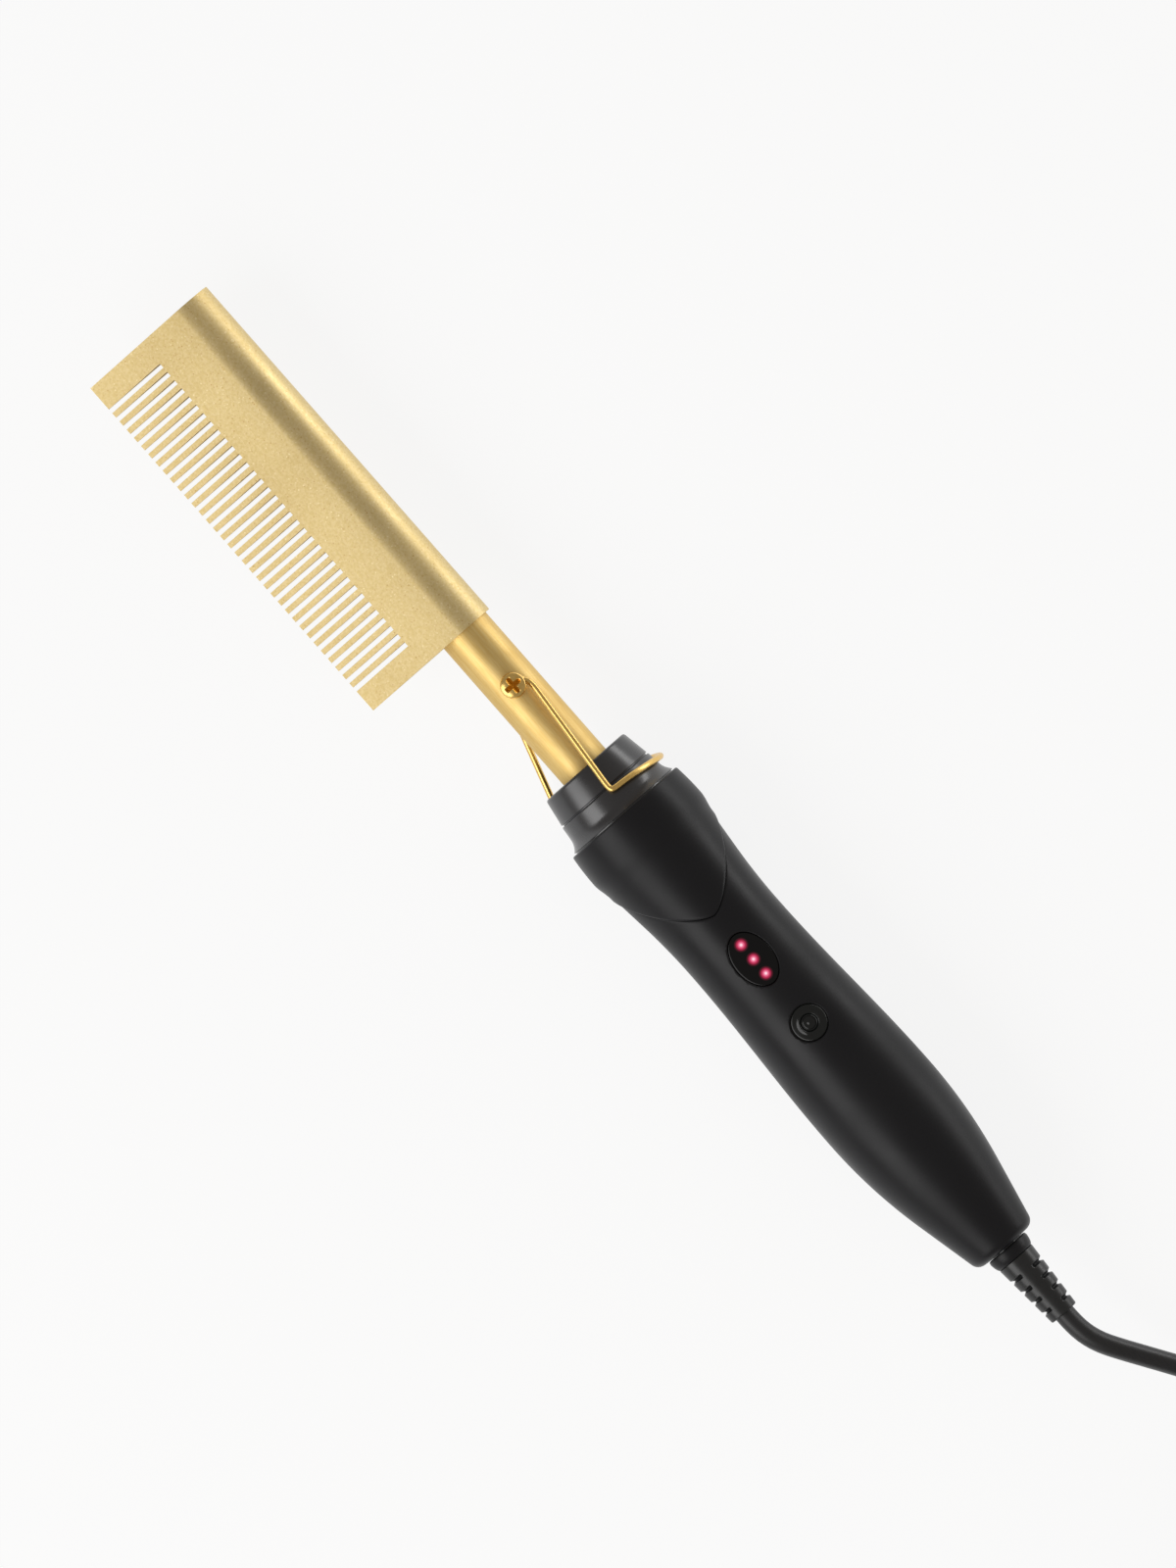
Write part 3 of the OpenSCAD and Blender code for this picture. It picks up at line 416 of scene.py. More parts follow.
def add_node(tree: Tree, kind: str, inputs: dict[str | int, object] | None = None,
             **settings: object) -> bpy.types.Node:
    """Adds a node with its settings and links.

    Args:
        tree: the material's or world's node tree.
        kind: the node's type name without its ShaderNode prefix.
        inputs: for each input, by name or index, a socket to link from or a value.
        settings: properties of the node itself.

    Returns:
        The new node.
    """
    made = tree.nodes.new("ShaderNode" + kind)
    for key, value in settings.items():
        setattr(made, key, value)
    for key, value in (inputs or {}).items():
        if isinstance(value, Socket):
            tree.links.new(value, made.inputs[key])
        else:
            made.inputs[key].default_value = value
    return made


# Values that a noise seldom leaves, for its fine marks and for its slow change
FINE_RANGE, SLOW_RANGE = (0.35, 0.65), (0.3, 0.7)


class Lay(Enum):
    """How a surface's fine marks lie: the stretch of its pattern along x, y and z."""

    EVEN = (1.0, 1.0, 1.0)
    ALONG = (0.06, 1.0, 1.0)
    ROUND = (1.0, 0.08, 0.08)


@dataclass(frozen=True)
class Finish:
    """One real material: a base colour, a second colour mixed in as mottle, and its fine marks.

    grain is the size of the fine marks, relief their depth, and patch the size of the slow change
    that handling leaves, all in millimetres; that change takes the roughness up and down by the
    spread. A specular of 0.5 is what the index of refraction gives.
    """

    name: str
    colour: str
    mottle: str
    roughness: float
    spread: float = 0.06
    metallic: float = 0.0
    ior: float = 1.5
    grain: float = 0.3
    relief: float = 0.004
    lay: Lay = Lay.EVEN
    patch: float = 14.0
    sheen: float = 0.0
    specular: float = 0.5

    def marks(self, tree: Tree) -> tuple[Socket, Socket]:
        """Adds the fine and the slow noise, and returns both outputs."""
        spot = object_place(tree)
        laid = add_node(tree, "Mapping", {"Vector": spot, "Scale": self.lay.value}).outputs[0]
        fine, slow = [
            add_node(tree, "TexNoise", {"Vector": where, "Scale": 1 / (size * MM), "Detail": detail,
                                        "Roughness": roughness}).outputs[0]
            for where, size, detail, roughness in ((laid, self.grain, 2.0, 0.6),
                                                   (spot, self.patch, 3.0, 0.55))]
        return fine, slow

    def tint(self, tree: Tree, fine: Socket) -> Socket:
        """Mixes the two colours by the fine noise and returns the colour."""
        share = spread_over(tree, fine, FINE_RANGE)
        return blend(tree, share, linear(self.colour), linear(self.mottle))

    def extra(self, tree: Tree, shader: bpy.types.Node) -> None:
        """Place for what a finish of its own adds to the shader."""

    def material(self) -> bpy.types.Material:
        """Makes the material once, and returns it."""
        if self.name in bpy.data.materials:
            return bpy.data.materials[self.name]
        made = bpy.data.materials.new(self.name)
        made.use_nodes = True
        tree = made.node_tree
        shader = tree.nodes["Principled BSDF"]
        fine, slow = self.marks(tree)
        gloss = spread_over(tree, slow, SLOW_RANGE,
                            (self.roughness - self.spread, self.roughness + self.spread))
        bump = add_node(tree, "Bump", {"Height": fine, "Strength": 1.0,
                                       "Distance": self.relief * MM}).outputs[0]
        for socket, source in (("Base Color", self.tint(tree, fine)), ("Roughness", gloss),
                               ("Normal", bump)):
            tree.links.new(source, shader.inputs[socket])
        for socket, value in (("Metallic", self.metallic), ("Sheen Weight", self.sheen),
                              ("Specular IOR Level", self.specular)):
            shader.inputs[socket].default_value = value
        if not self.metallic:
            shader.inputs["IOR"].default_value = self.ior
        self.extra(tree, shader)
        return made


@dataclass(frozen=True)
class BlastedGold(Finish):
    """Gold anodised aluminium over a fine-blasted surface.

    The blasting breaks the gloss into bright and dark specks, and these are painted into the colour
    as painted glints and painted shade; grit of about 0.2 mm is drawn at three times its size so
    that it shows.
    """

    def tint(self, tree: Tree, fine: Socket) -> Socket:
        """Adds sparse pale and dark specks to the mixed colour: painted glints and painted shade.
        """
        grit, share = 0.75 * MM, 0.75
        cell = add_node(tree, "TexVoronoi", {"Vector": object_place(tree),
                                             "Scale": 1 / grit}).outputs
        # Painted glints and painted shade: sparse near-white and dark specks mixed into the base
        # colour
        painted_glint_speck = spread_over(tree, cell["Distance"], (0.16, 0.3), (share, 0.0))
        glint_and_shade_tone = blend(tree, cell["Color"], linear("#b98f45"), linear("#fff0c4"))
        return blend(tree, painted_glint_speck, super().tint(tree, fine), glint_and_shade_tone)


@dataclass(frozen=True)
class LitWindow(Finish):
    """Smoked, polished ABS with three lamps that shine through it.

    Each lamp shows as a near-white core in a pink-red halo that fades to nothing; the glow is
    worked out from the distance, seen from the front, to the lamp's middle. lamps holds x and y
    of the middles, and halo is the radius where the glow has faded.
    """

    lamps: tuple[Pair, ...] = ()
    halo: float = 1.75

    def extra(self, tree: Tree, shader: bpy.types.Node) -> None:
        """Adds the glow of the nearest lamp to the shader."""
        flat = add_node(tree, "VectorMath", {0: object_place(tree), 1: (1.0, 1.0, 0.0)},
                        operation="MULTIPLY").outputs[0]
        nearest, *others = [
            add_node(tree, "VectorMath", {0: flat, 1: place((x, y, 0)) * (1, 1, 0)},
                     operation="DISTANCE").outputs["Value"] for x, y in self.lamps]
        for away in others:
            nearest = math_of(tree, "MINIMUM", nearest, away)
        glow = add_node(tree, "ValToRGB", {0: spread_over(tree, nearest, (0.0, self.halo * MM))})
        stops = glow.color_ramp
        stops.interpolation = "EASE"
        for at, colour in ((0.12, "#ffcbd9"), (0.3, "#ec6c90"), (0.56, "#b4264c"),
                           (0.8, "#4c0d1e")):
            stops.elements.new(at).color = linear(colour)
        stops.elements[0].color = linear("#fff2f6")
        stops.elements[-1].color = linear("#000000")
        tree.links.new(glow.outputs[0], shader.inputs["Emission Color"])
        shader.inputs["Emission Strength"].default_value = 1.0


@dataclass(frozen=True)
class Lamp(Finish):
    """Clear red epoxy of a lit lamp: it glows evenly, so the bead looks lit from inside."""

    def extra(self, tree: Tree, shader: bpy.types.Node) -> None:
        """Lets the whole lamp shine."""
        shader.inputs["Emission Color"].default_value = linear("#ff4d6e")
        shader.inputs["Emission Strength"].default_value = 0.8


@dataclass(frozen=True)
class Webbing(Finish):
    """Woven nylon strap: threads 0.8 mm apart run along x and across it, so it looks ribbed."""

    def marks(self, tree: Tree) -> tuple[Socket, Socket]:
        """Adds a plain weave, the product of two waves, in place of the fine noise."""
        thread = 0.8 * MM
        wave = {"Vector": object_place(tree), "Scale": 0.5 / (TURN * thread), "Distortion": 0.3}
        x, y, z = [add_node(tree, "TexWave", wave, bands_direction=axis).outputs["Fac"]
                   for axis in ("X", "Y", "Z")]
        weave = math_of(tree, "MULTIPLY", x, math_of(tree, "MAXIMUM", y, z))
        return weave, super().marks(tree)[1]


# Anodised comb: pale satin gold whose faint sparkle is painted glints and shade in its colour
COMB_GOLD = BlastedGold("gold_anodised_aluminium", "#e4cf9b", "#dac388", 0.5, metallic=1.0,
                        grain=0.6, relief=0.02, patch=20.0)
# Drawn steel tube, gold coated: satin, with faint lines along it
NECK_GOLD = Finish("gold_coated_steel_tube", "#e5c987", "#ddbc74", 0.55, metallic=1.0, grain=0.35,
                   relief=0.003, lay=Lay.ALONG)
# Gold-plated wire and screws: polished, so they mirror the room in hard bright and dark streaks
BRIGHT_GOLD = Finish("gold_plated_steel", "#eec97c", "#e6bd6a", 0.25, spread=0.04, metallic=1.0,
                     grain=0.5, relief=0.002)
# Heat-resistant nylon of the two collars: moulded black with a clear, soft-edged highlight
COLLAR_BLACK = Finish("heat_resistant_nylon", "#131317", "#17171b", 0.27, grain=0.35, relief=0.003,
                      specular=0.9)
# Soft-touch paint on ABS: a dark velvet that gathers light only at a low angle
SOFT_BLACK = Finish("soft_touch_abs", "#111114", "#151518", 0.4, grain=0.3, relief=0.004,
                    patch=25.0, specular=0.25)
# Polished ABS of the button: deep black with thin, sharp reflections in its dish
BUTTON_BLACK = Finish("polished_abs", "#090c0c", "#0c0f0f", 0.14, spread=0.03, relief=0.0005,
                      specular=0.4)
# Moulded PVC of the strain relief: dull black, so that its ribs show by their shade alone
RELIEF_RUBBER = Finish("moulded_pvc_relief", "#141516", "#1a1b1c", 0.34, grain=0.4, relief=0.006)
# Extruded sheath of the cord: one long, soft gleam with fine drawn lines in it
CORD_PVC = Finish("extruded_pvc_sheath", "#171719", "#1d1d1f", 0.38, grain=0.5, relief=0.01,
                  lay=Lay.ALONG)
# Strap of the hank: matt charcoal with a woven grid and a little fuzz at its edges
TIE_FABRIC = Webbing("woven_nylon_strap", "#232327", "#3a3a40", 0.85, relief=0.12, sheen=0.15)
# Moulded plug: flat dark grey with a fine even grain
PLUG_BLACK = Finish("moulded_pvc_plug", "#1b1b1c", "#212122", 0.45, grain=0.35, relief=0.01)
# Nickel-plated pins: a cool pale mirror with turning marks round them
NICKEL = Finish("nickel_plated_brass", "#c9cbce", "#b9bbbe", 0.2, metallic=1.0, grain=0.4,
                relief=0.002, lay=Lay.ROUND)
# Zinc-plated steel: greyer than nickel, with a hazy gleam
ZINC_STEEL = Finish("zinc_plated_steel", "#a8a9ab", "#94969a", 0.32, metallic=1.0, relief=0.003)
# Turned brass: warm yellow with fine rings left by the lathe
BRASS = Finish("turned_brass", "#c79a45", "#b58a3c", 0.28, metallic=1.0, relief=0.003,
               lay=Lay.ROUND)
# Extruded aluminium: raw pale grey, brushed along its length by the die
RAW_ALUMINIUM = Finish("extruded_aluminium", "#b9bcc0", "#a6aaaf", 0.36, metallic=1.0,
                       relief=0.004, lay=Lay.ALONG)
# Fired alumina: chalky cream that hardly shines
CERAMIC = Finish("fired_alumina", "#e9e4d6", "#ddd6c4", 0.4, ior=1.76, grain=0.5)
# Polyimide film: glassy amber
AMBER_FILM = Finish("polyimide_film", "#c98a2b", "#b87920", 0.18, ior=1.7, relief=0.001)
# Dipped epoxy of the sensor: a waxy green drop
SENSOR_RESIN = Finish("dipped_epoxy", "#2f6f4f", "#27604a", 0.4, grain=0.6)
# Silicone leads: even red and blue with the dull gleam of rubber
LEAD_RED = Finish("red_silicone_lead", "#c23b2e", "#a93026", 0.5, relief=0.004)
LEAD_BLUE = Finish("blue_silicone_lead", "#3a5fb0", "#30529c", 0.5, relief=0.004)
# Acetal: milky white with a soft gleam
LEAD_WHITE = Finish("white_acetal", "#e4e4e0", "#d6d6d0", 0.38, relief=0.003)
# Moulded phenolic: dull brown, mottled by its filler
BUSH_RESIN = Finish("moulded_phenolic", "#5a4a3c", "#4a3c30", 0.5, grain=0.8, relief=0.008)
# Lamps on the board: red beads that glow
LED_RED = Lamp("clear_red_epoxy", "#e8334a", "#d82a40", 0.1, ior=1.55, relief=0.0005)
# Solder mask: wet-looking green that ripples over the tracks
BOARD_GREEN = Finish("green_solder_mask", "#1f6b3d", "#185a32", 0.3, grain=1.2, relief=0.01)
# Moulded epoxy of the chips: dead matt black with a fine grain
CHIP_BLACK = Finish("moulded_epoxy", "#1a1a1c", "#222224", 0.55, grain=0.2)
# Polyester box of the film capacitor: smooth mustard yellow
CAPACITOR_YELLOW = Finish("yellow_polyester_box", "#c8a02a", "#b89020", 0.35, relief=0.002)
# Shrink sleeve of the smoothing capacitor: taut, shiny navy
CAPACITOR_BLUE = Finish("blue_shrink_sleeve", "#29406e", "#22365e", 0.3, relief=0.003)
# Pressed carbon of the brushes: dry grey-black with a crumbly grain
CARBON = Finish("pressed_carbon", "#4a4a4c", "#39393b", 0.6, grain=0.25, relief=0.01)

# Finishes of the CAD nodes that stay as they are
CARRIED_OVER: dict[Finish, tuple[str, ...]] = {
    RAW_ALUMINIUM: ("heater_block_upper", "heater_block_lower"),
    CERAMIC: ("ceramic_heater",), AMBER_FILM: ("insulation_film",),
    SENSOR_RESIN: ("temperature_sensor",),
    ZINC_STEEL: ("thermal_fuse", "neck_pin", "board_screws"),
    LEAD_RED: ("heater_leads",), LEAD_WHITE: ("sensor_leads", "switch_plunger"),
    LEAD_BLUE: ("power_leads",), BRASS: ("pivot_spacer", "slip_rings"),
    BUSH_RESIN: ("neck_bush", "brush_holder"), LED_RED: ("indicator_leds",),
    BUTTON_BLACK: ("tact_switch",), BOARD_GREEN: ("control_board",),
    CHIP_BLACK: ("triac", "controller_chip"), CAPACITOR_YELLOW: ("film_capacitor",),
    CAPACITOR_BLUE: ("smoothing_capacitor",), CARBON: ("contact_brushes",),
    COLLAR_BLACK: ("swivel_core",), CORD_PVC: ("cord_stub",),
}


# Outline of the handle and its nose, as the CAD model has them

FLARE_R, COVER_X, FLARE_X, TONGUE_X = 16.3, 154.0, 162.0, 167.4
WAIST_X, BELLY_X, HANDLE_END = 192.0, 243.0, 286.7
WAIST_R, BELLY_R, TAIL_SLOPE, TAIL_BLEND, END_CORNER = 13.3, 15.0, 0.223, 27.3, 2.5
TONGUE_L, TONGUE_POWER, COVER_PROUD, COVER_T = 17.8, 1.45, 0.45, 1.25
FRONT_RISE, CROWN_FALL = 1.35, 0.5


def grip_r(x: Array | float) -> Array:
    """Radius of the handle: a widening front, a cosine from waist to belly, and a falling tail."""
    x = np.asarray(x, float)
    d, e = WAIST_X - x, x - BELLY_X
    front = WAIST_R + FRONT_RISE * np.where(d < 15, (d / 20) ** 2, 15 * (2 * d - 15) / 400)
    share = (x - WAIST_X) / (BELLY_X - WAIST_X)
    middle = WAIST_R + (BELLY_R - WAIST_R) * (1 - np.cos(np.pi * share)) / 2
    rise = TAIL_SLOPE / (2 * TAIL_BLEND)
    tail = BELLY_R - np.where(e < TAIL_BLEND, rise * e ** 2,
                              rise * TAIL_BLEND ** 2 + TAIL_SLOPE * (e - TAIL_BLEND))
    return np.where(x < WAIST_X, front, np.where(x < BELLY_X, middle, tail))


def cover_r(x: Array | float) -> Array:
    """Radius of the nose cover: a low crown up to the flare, then an eased fall to the handle."""
    x = np.asarray(x, float)
    crown = FLARE_R - CROWN_FALL * ((FLARE_X - x) / (FLARE_X - COVER_X)) ** 2
    share = ease((x - FLARE_X) / (TONGUE_X - FLARE_X))
    fall = FLARE_R + (grip_r(TONGUE_X) + COVER_PROUD - FLARE_R) * share
    return np.where(x < FLARE_X, crown, np.where(x < TONGUE_X, fall, grip_r(x) + COVER_PROUD))


def skin_z(x: Array, y: Array) -> Array:
    """Height of the handle's skin over the long axis: the root of radius squared less y squared."""
    return np.sqrt(np.maximum(grip_r(x) ** 2 - np.asarray(y, float) ** 2, 0.01))


def cover_end(a: Array) -> Array:
    """Place along the axis where the nose cover ends, at each angle round the axis.

    Seen from the front the tongue's outline is |y| over its half width, to a power, plus the
    reach over the tongue's length, to the same power, equal to one. The radius at the end is put
    back into it a few times.
    """
    half = float(cover_r(TONGUE_X)) + 0.1
    end = np.full_like(a, TONGUE_X)
    for _ in range(12):
        share = np.clip(np.abs(cover_r(end) * np.cos(a)) / half, 0, 1)
        reach = (1 - share ** TONGUE_POWER) ** (1 / TONGUE_POWER)
        end = 0.5 * end + 0.5 * (TONGUE_X + TONGUE_L * reach)
    return end


# Sub-assemblies

@dataclass
class MainsCord:
    """The cord beyond the strain relief: down to the surface, into a tied hank, and to the plug.

    The hank's loops lie a step apart and its layers a layer. The tie draws the runs in by draw;
    widen is the share by which their steps grow there. The tie reaches by tie_reach to either
    side of the hank's middle. plug_at is y and z of the plug, plug_ends are x of its sleeve, its
    grip and its face, and pin is the radius and length of its pins.
    """

    diameter: float = 5.0
    hank_at: Pair = (429.5, -2.0)
    run: float = 75.0
    fold: float = 15.0
    step: float = 5.6
    layer: float = 5.5
    draw: float = 6.0
    widen: float = 0.08
    tie_width: float = 10.0
    tie_thick: float = 1.2
    tie_reach: Pair = (18.7, 21.7)
    tie_top: float = 7.3
    plug_at: Pair = (7.0, FLOOR_Z + 6.85)
    plug_ends: tuple[float, float, float] = (536.0, 546.0, 568.0)
    pin: Pair = (2.0, 19.0)
    pin_pitch: float = 18.6
    lead: tuple[tuple[float, float, float], ...] = (
        (307, 0, 0), (309.5, 0, 0), (313, 0.3, -0.2), (316.7, 1.4, -0.8), (320.2, 3.2, -1.7),
        (331, 10, -5.9), (341, 16.2, -9.6), (348, 19.6, -11.3), (355, 21.5, -12.2),
        (362, 22.1, -12.6), (374, 22.1, -12.6), (387, 22.1, -12.6))
    tail: tuple[tuple[float, float, float], ...] = (
        (472, 22.1, 3.9), (482, 22, 3.6), (492, 20, 1.2), (502, 16.5, -3), (512, 12, -7),
        (522, 8.5, -9), (531, 7, -9.45), (536, 7, -9.45))

    def hank(self, a_loop: int = 72) -> Array:
        """Middle line of the hank, with a_loop points a loop.

        A loop's phase runs from 0 to 1 from the middle of one run. Runs are straight but for a
        cosine that draws them in at the tie; folds are half circles. The radius grows and shrinks
        by one step a loop, turning back every loop and a half, where the line climbs a layer.
        """
        loops, eighth, hair = 6, 1 / 8, 1e-4
        t = ramp(hair - eighth, loops + eighth - hair, int((loops + 2 * eighth) * a_loop))
        q = t - np.floor(t)
        spiral = np.select([t < 1.5, t < 3, t < 4.5], [1.5 - t, t - 1.5, 4.5 - t], t - 4.5)
        level = sum(np.clip((t - c) / 0.25 + 0.5, 0, 1) for c in (1.5, 3.0, 4.5))
        near = (q < eighth) | (q >= 1 - eighth)
        far = np.abs(q - 0.5) <= eighth
        u = np.where(near, np.where(q < 0.5, q, q - 1), q - 0.5) / eighth
        drawn = (1 + np.cos(np.pi * u)) / 2
        run_y = self.fold + spiral * self.step * (1 + self.widen * drawn) - self.draw * drawn
        radius = self.fold + spiral * self.step
        first = q < 0.5
        a = np.pi * np.where(first, q - eighth, q - 0.5 - eighth) / (0.5 - 2 * eighth)
        way = np.where(first, 1.0, -1.0)
        x = np.select([near, far], [u * self.run / 2, -u * self.run / 2],
                      way * (self.run / 2 + radius * np.sin(a)))
        y = np.select([near, far], [run_y, -run_y], way * radius * np.cos(a))
        low = FLOOR_Z + self.tie_thick + self.diameter / 2
        return joined(x + self.hank_at[0], y + self.hank_at[1], low + self.layer * level)

    def route(self) -> Array:
        """The whole middle line, from the strain relief to the plug."""
        return np.concatenate([smooth_route(self.lead), self.hank(), smooth_route(self.tail)])

    def tie(self) -> Piece:
        """The strap round the hank's waist: a flat band, with its end lapped on top.

        The band follows an oblong with rounded corners. The lap sinks by a low half wave between
        its ends; from round_from on its width falls as an ellipse does.
        """
        x, y = self.hank_at
        w, t = self.tie_width / 2, self.tie_thick / 2
        low_y, high_y, low_z, high_z = (y - self.tie_reach[0], y + self.tie_reach[1], FLOOR_Z + t,
                                        self.tie_top)
        corners = [(x, low_y, low_z), (x, high_y, low_z), (x, high_y, high_z), (x, low_y, high_z)]
        oblong = rounded_corners(corners, 5.0, 9)
        line = resampled(np.concatenate([oblong, oblong[:1]]), 1.0)[:-1]
        band = rounded_corners([(-w, -t), (w, -t), (w, t), (-w, t)], 0.3, 4)
        share, start, length, sink, round_from = ramp(0, 1, 28), 2.0, 14.0, 0.15, 0.8
        over = high_z + self.tie_thick + 0.02
        lap = joined(x, y + start + length * share, over - sink * np.sin(np.pi * share))
        past = np.clip(share - round_from, 0, 1) / 0.215
        width = (w - 0.5) * np.sqrt(np.clip(1 - past ** 2, 0.02, 1))
        strap = band * joined(width / w, 0.95)[:, None]
        way = (1, 0, 0)
        shape = Surface().tube(line, band, closed=True, start=way).tube(lap, strap, start=way)
        return shape.mesh("tie_strap")

    def plug(self) -> tuple[Piece, Piece]:
        """The plug's body and its two pins.

        The body's section is a superellipse. It is round along the ribbed sleeve, then widens by
        smooth steps while its power rises from 2, a circle, to 3.6. Its face is rounded off.
        """
        (y, z), (sleeve, grip, face) = self.plug_at, self.plug_ends
        corner, swell, rib_pitch, rib_gap, rib_depth = 1.2, 15.4, 2.2, 0.9, 0.35
        x = np.concatenate([ramp(sleeve, grip, 9), ramp(grip + 0.6, grip + swell, 16),
                            ramp(grip + swell + 1, face - corner, 5),
                            crowded(face, corner, 0.15, 6)])[:, None]
        ribs = rib_depth * (np.mod(x - sleeve - 1.4, rib_pitch) < rib_gap) * (x < grip - 1)
        body = 3.5 + 0.1 * (np.minimum(x, grip) - sleeve)
        body = body - round_off((x - face + corner) / corner, corner) - ribs
        a = round_angles(72)
        c, s = np.cos(a), np.sin(a)
        n = 2 / (2 + 1.6 * ease((x - grip) / 9))
        wide = (body + 13.15 * ease((x - grip) / swell)) * np.sign(c) * np.abs(c) ** n
        thick = (body + 2.35 * ease((x - grip) / 7)) * np.sign(s) * np.abs(s) ** n
        moulded = Surface().capped(joined(x, y + wide, z + thick)).mesh("moulded_plug")
        t = ramp(0, np.pi / 2, 6)
        r, length = self.pin
        pin = np.concatenate([[[face - 3, r - 0.1], [face + 9.9, r - 0.1], [face + 10, r]],
                              joined(face + length - 1 + np.sin(t), r - 1 + np.cos(t))])
        pins = Surface()
        for side in (-0.5, 0.5):
            pins.turned(pin, 32, caps=True, at=(y + side * self.pin_pitch, z))
        return moulded, pins.mesh("round_pins")

    def build(self) -> None:
        line = resampled(self.route(), 1.6)
        log.info("cord is %.1f mm long", length_of(line))
        cord = Surface().tube(line, circle(self.diameter / 2, 16)).mesh("mains_cord")
        finished(cord, CORD_PVC, "cord_pvc", "cord_lead", "cord_hank", "cord_tail")
        tie = finished(self.tie(), TIE_FABRIC, "tie_fabric", "cord_tie")
        body, pins = self.plug()
        finished(body, PLUG_BLACK, "plug_black", "plug_body")
        finished(pins, NICKEL, "nickel", "plug_pins")


@dataclass
class Studio:
    """The pale floor, the soft lamps, and the camera over the object's front.

    The view's middle and height and the camera's distance are in millimetres, turn is the cosine
    and sine of its turn, and white the share by which the floor looks white where it is seen.
    The lamps are lamp_away metres off.
    """

    view_at: Pair = (143.6, -2.0)
    view_height: float = 360.0
    distance: float = 4000.0
    turn: Pair = (0.66, 0.7513)
    white: float = 0.87
    lamp_away: float = 1.3

    def floor(self) -> None:
        """A pale matt floor, lifted towards white where it is seen, with the shadow kept."""
        half = 20.0
        data = bpy.data.meshes.new("floor")
        corners = [(x * half, y * half, 0) for x, y in ((-1, -1), (1, -1), (1, 1), (-1, 1))]
        data.from_pydata(corners, [], [(0, 1, 2, 3)])
        made = bpy.data.materials.new("matt_paper")
        made.use_nodes = True
        tree = made.node_tree
        tree.nodes.clear()
        paper = add_node(tree, "BsdfDiffuse", {"Color": linear("#f4f4f4")}).outputs[0]
        glow = add_node(tree, "Emission", {"Color": linear("#ffffff"), "Strength": 1.0}).outputs[0]
        path = add_node(tree, "LightPath").outputs
        seen = math_of(tree, "MAXIMUM", path["Is Camera Ray"], path["Is Glossy Ray"])
        share = math_of(tree, "MULTIPLY", seen, self.white)
        mix = add_node(tree, "MixShader", {0: share, 1: paper, 2: glow}).outputs[0]
        add_node(tree, "OutputMaterial", {"Surface": mix})
        data.materials.append(made)
        linked("floor", data)

    def lamp(self, name: str, lean: float, size: Pair, power: float) -> None:
        """Adds a soft lamp that faces the object.

        Args:
            name: the lamp's name.
            lean: angle in degrees from straight up towards the spine's side.
            size: its length along the handle and its width, in metres.
            power: its power in watts.
        """
        data = bpy.data.lights.new(name, "AREA")
        data.shape, data.size, data.size_y, data.energy = "RECTANGLE", *size, power
        a = math.radians(lean)
        over = Matrix.Translation((0, self.lamp_away * math.sin(a), self.lamp_away * math.cos(a)))
        linked(name, data).matrix_world = over @ Matrix.Rotation(-a, 4, "X")

    def light(self) -> None:
        """Two broad soft lamps at the sides and an even room."""
        world = bpy.data.worlds.new("room")
        bpy.context.scene.world = world
        world.use_nodes = True
        room = world.node_tree.nodes["Background"]
        room.inputs["Color"].default_value = linear("#fff8f0")
        room.inputs["Strength"].default_value = 0.36
        self.lamp("tooth_side_lamp", -50, (1.6, 0.8), 11.0)
        self.lamp("spine_side_lamp", 84, (1.6, 0.34), 6.5)

    def camera(self) -> None:
        """Camera straight above, turned so that the comb lies as in the photograph.

        The lens is the sensor's height times the distance over the height that it sees.
        """
        c, s = self.turn
        x, y, z = place((*self.view_at, self.distance))
        data = bpy.data.cameras.new("camera")
        data.sensor_fit, data.sensor_height, data.sensor_width = "VERTICAL", 36.0, 27.0
        data.lens = data.sensor_height * self.distance / self.view_height
        camera = linked("camera", data)
        camera.matrix_world = Matrix(((c, -s, 0, x), (s, c, 0, y), (0, 0, 1, z), (0, 0, 0, 1)))
        bpy.context.scene.camera = camera
        bpy.context.scene.view_settings.view_transform = "Standard"

    def build(self) -> None:
        """Sets the camera first, then floor and lamps."""
        self.camera()
        self.floor()
        self.light()


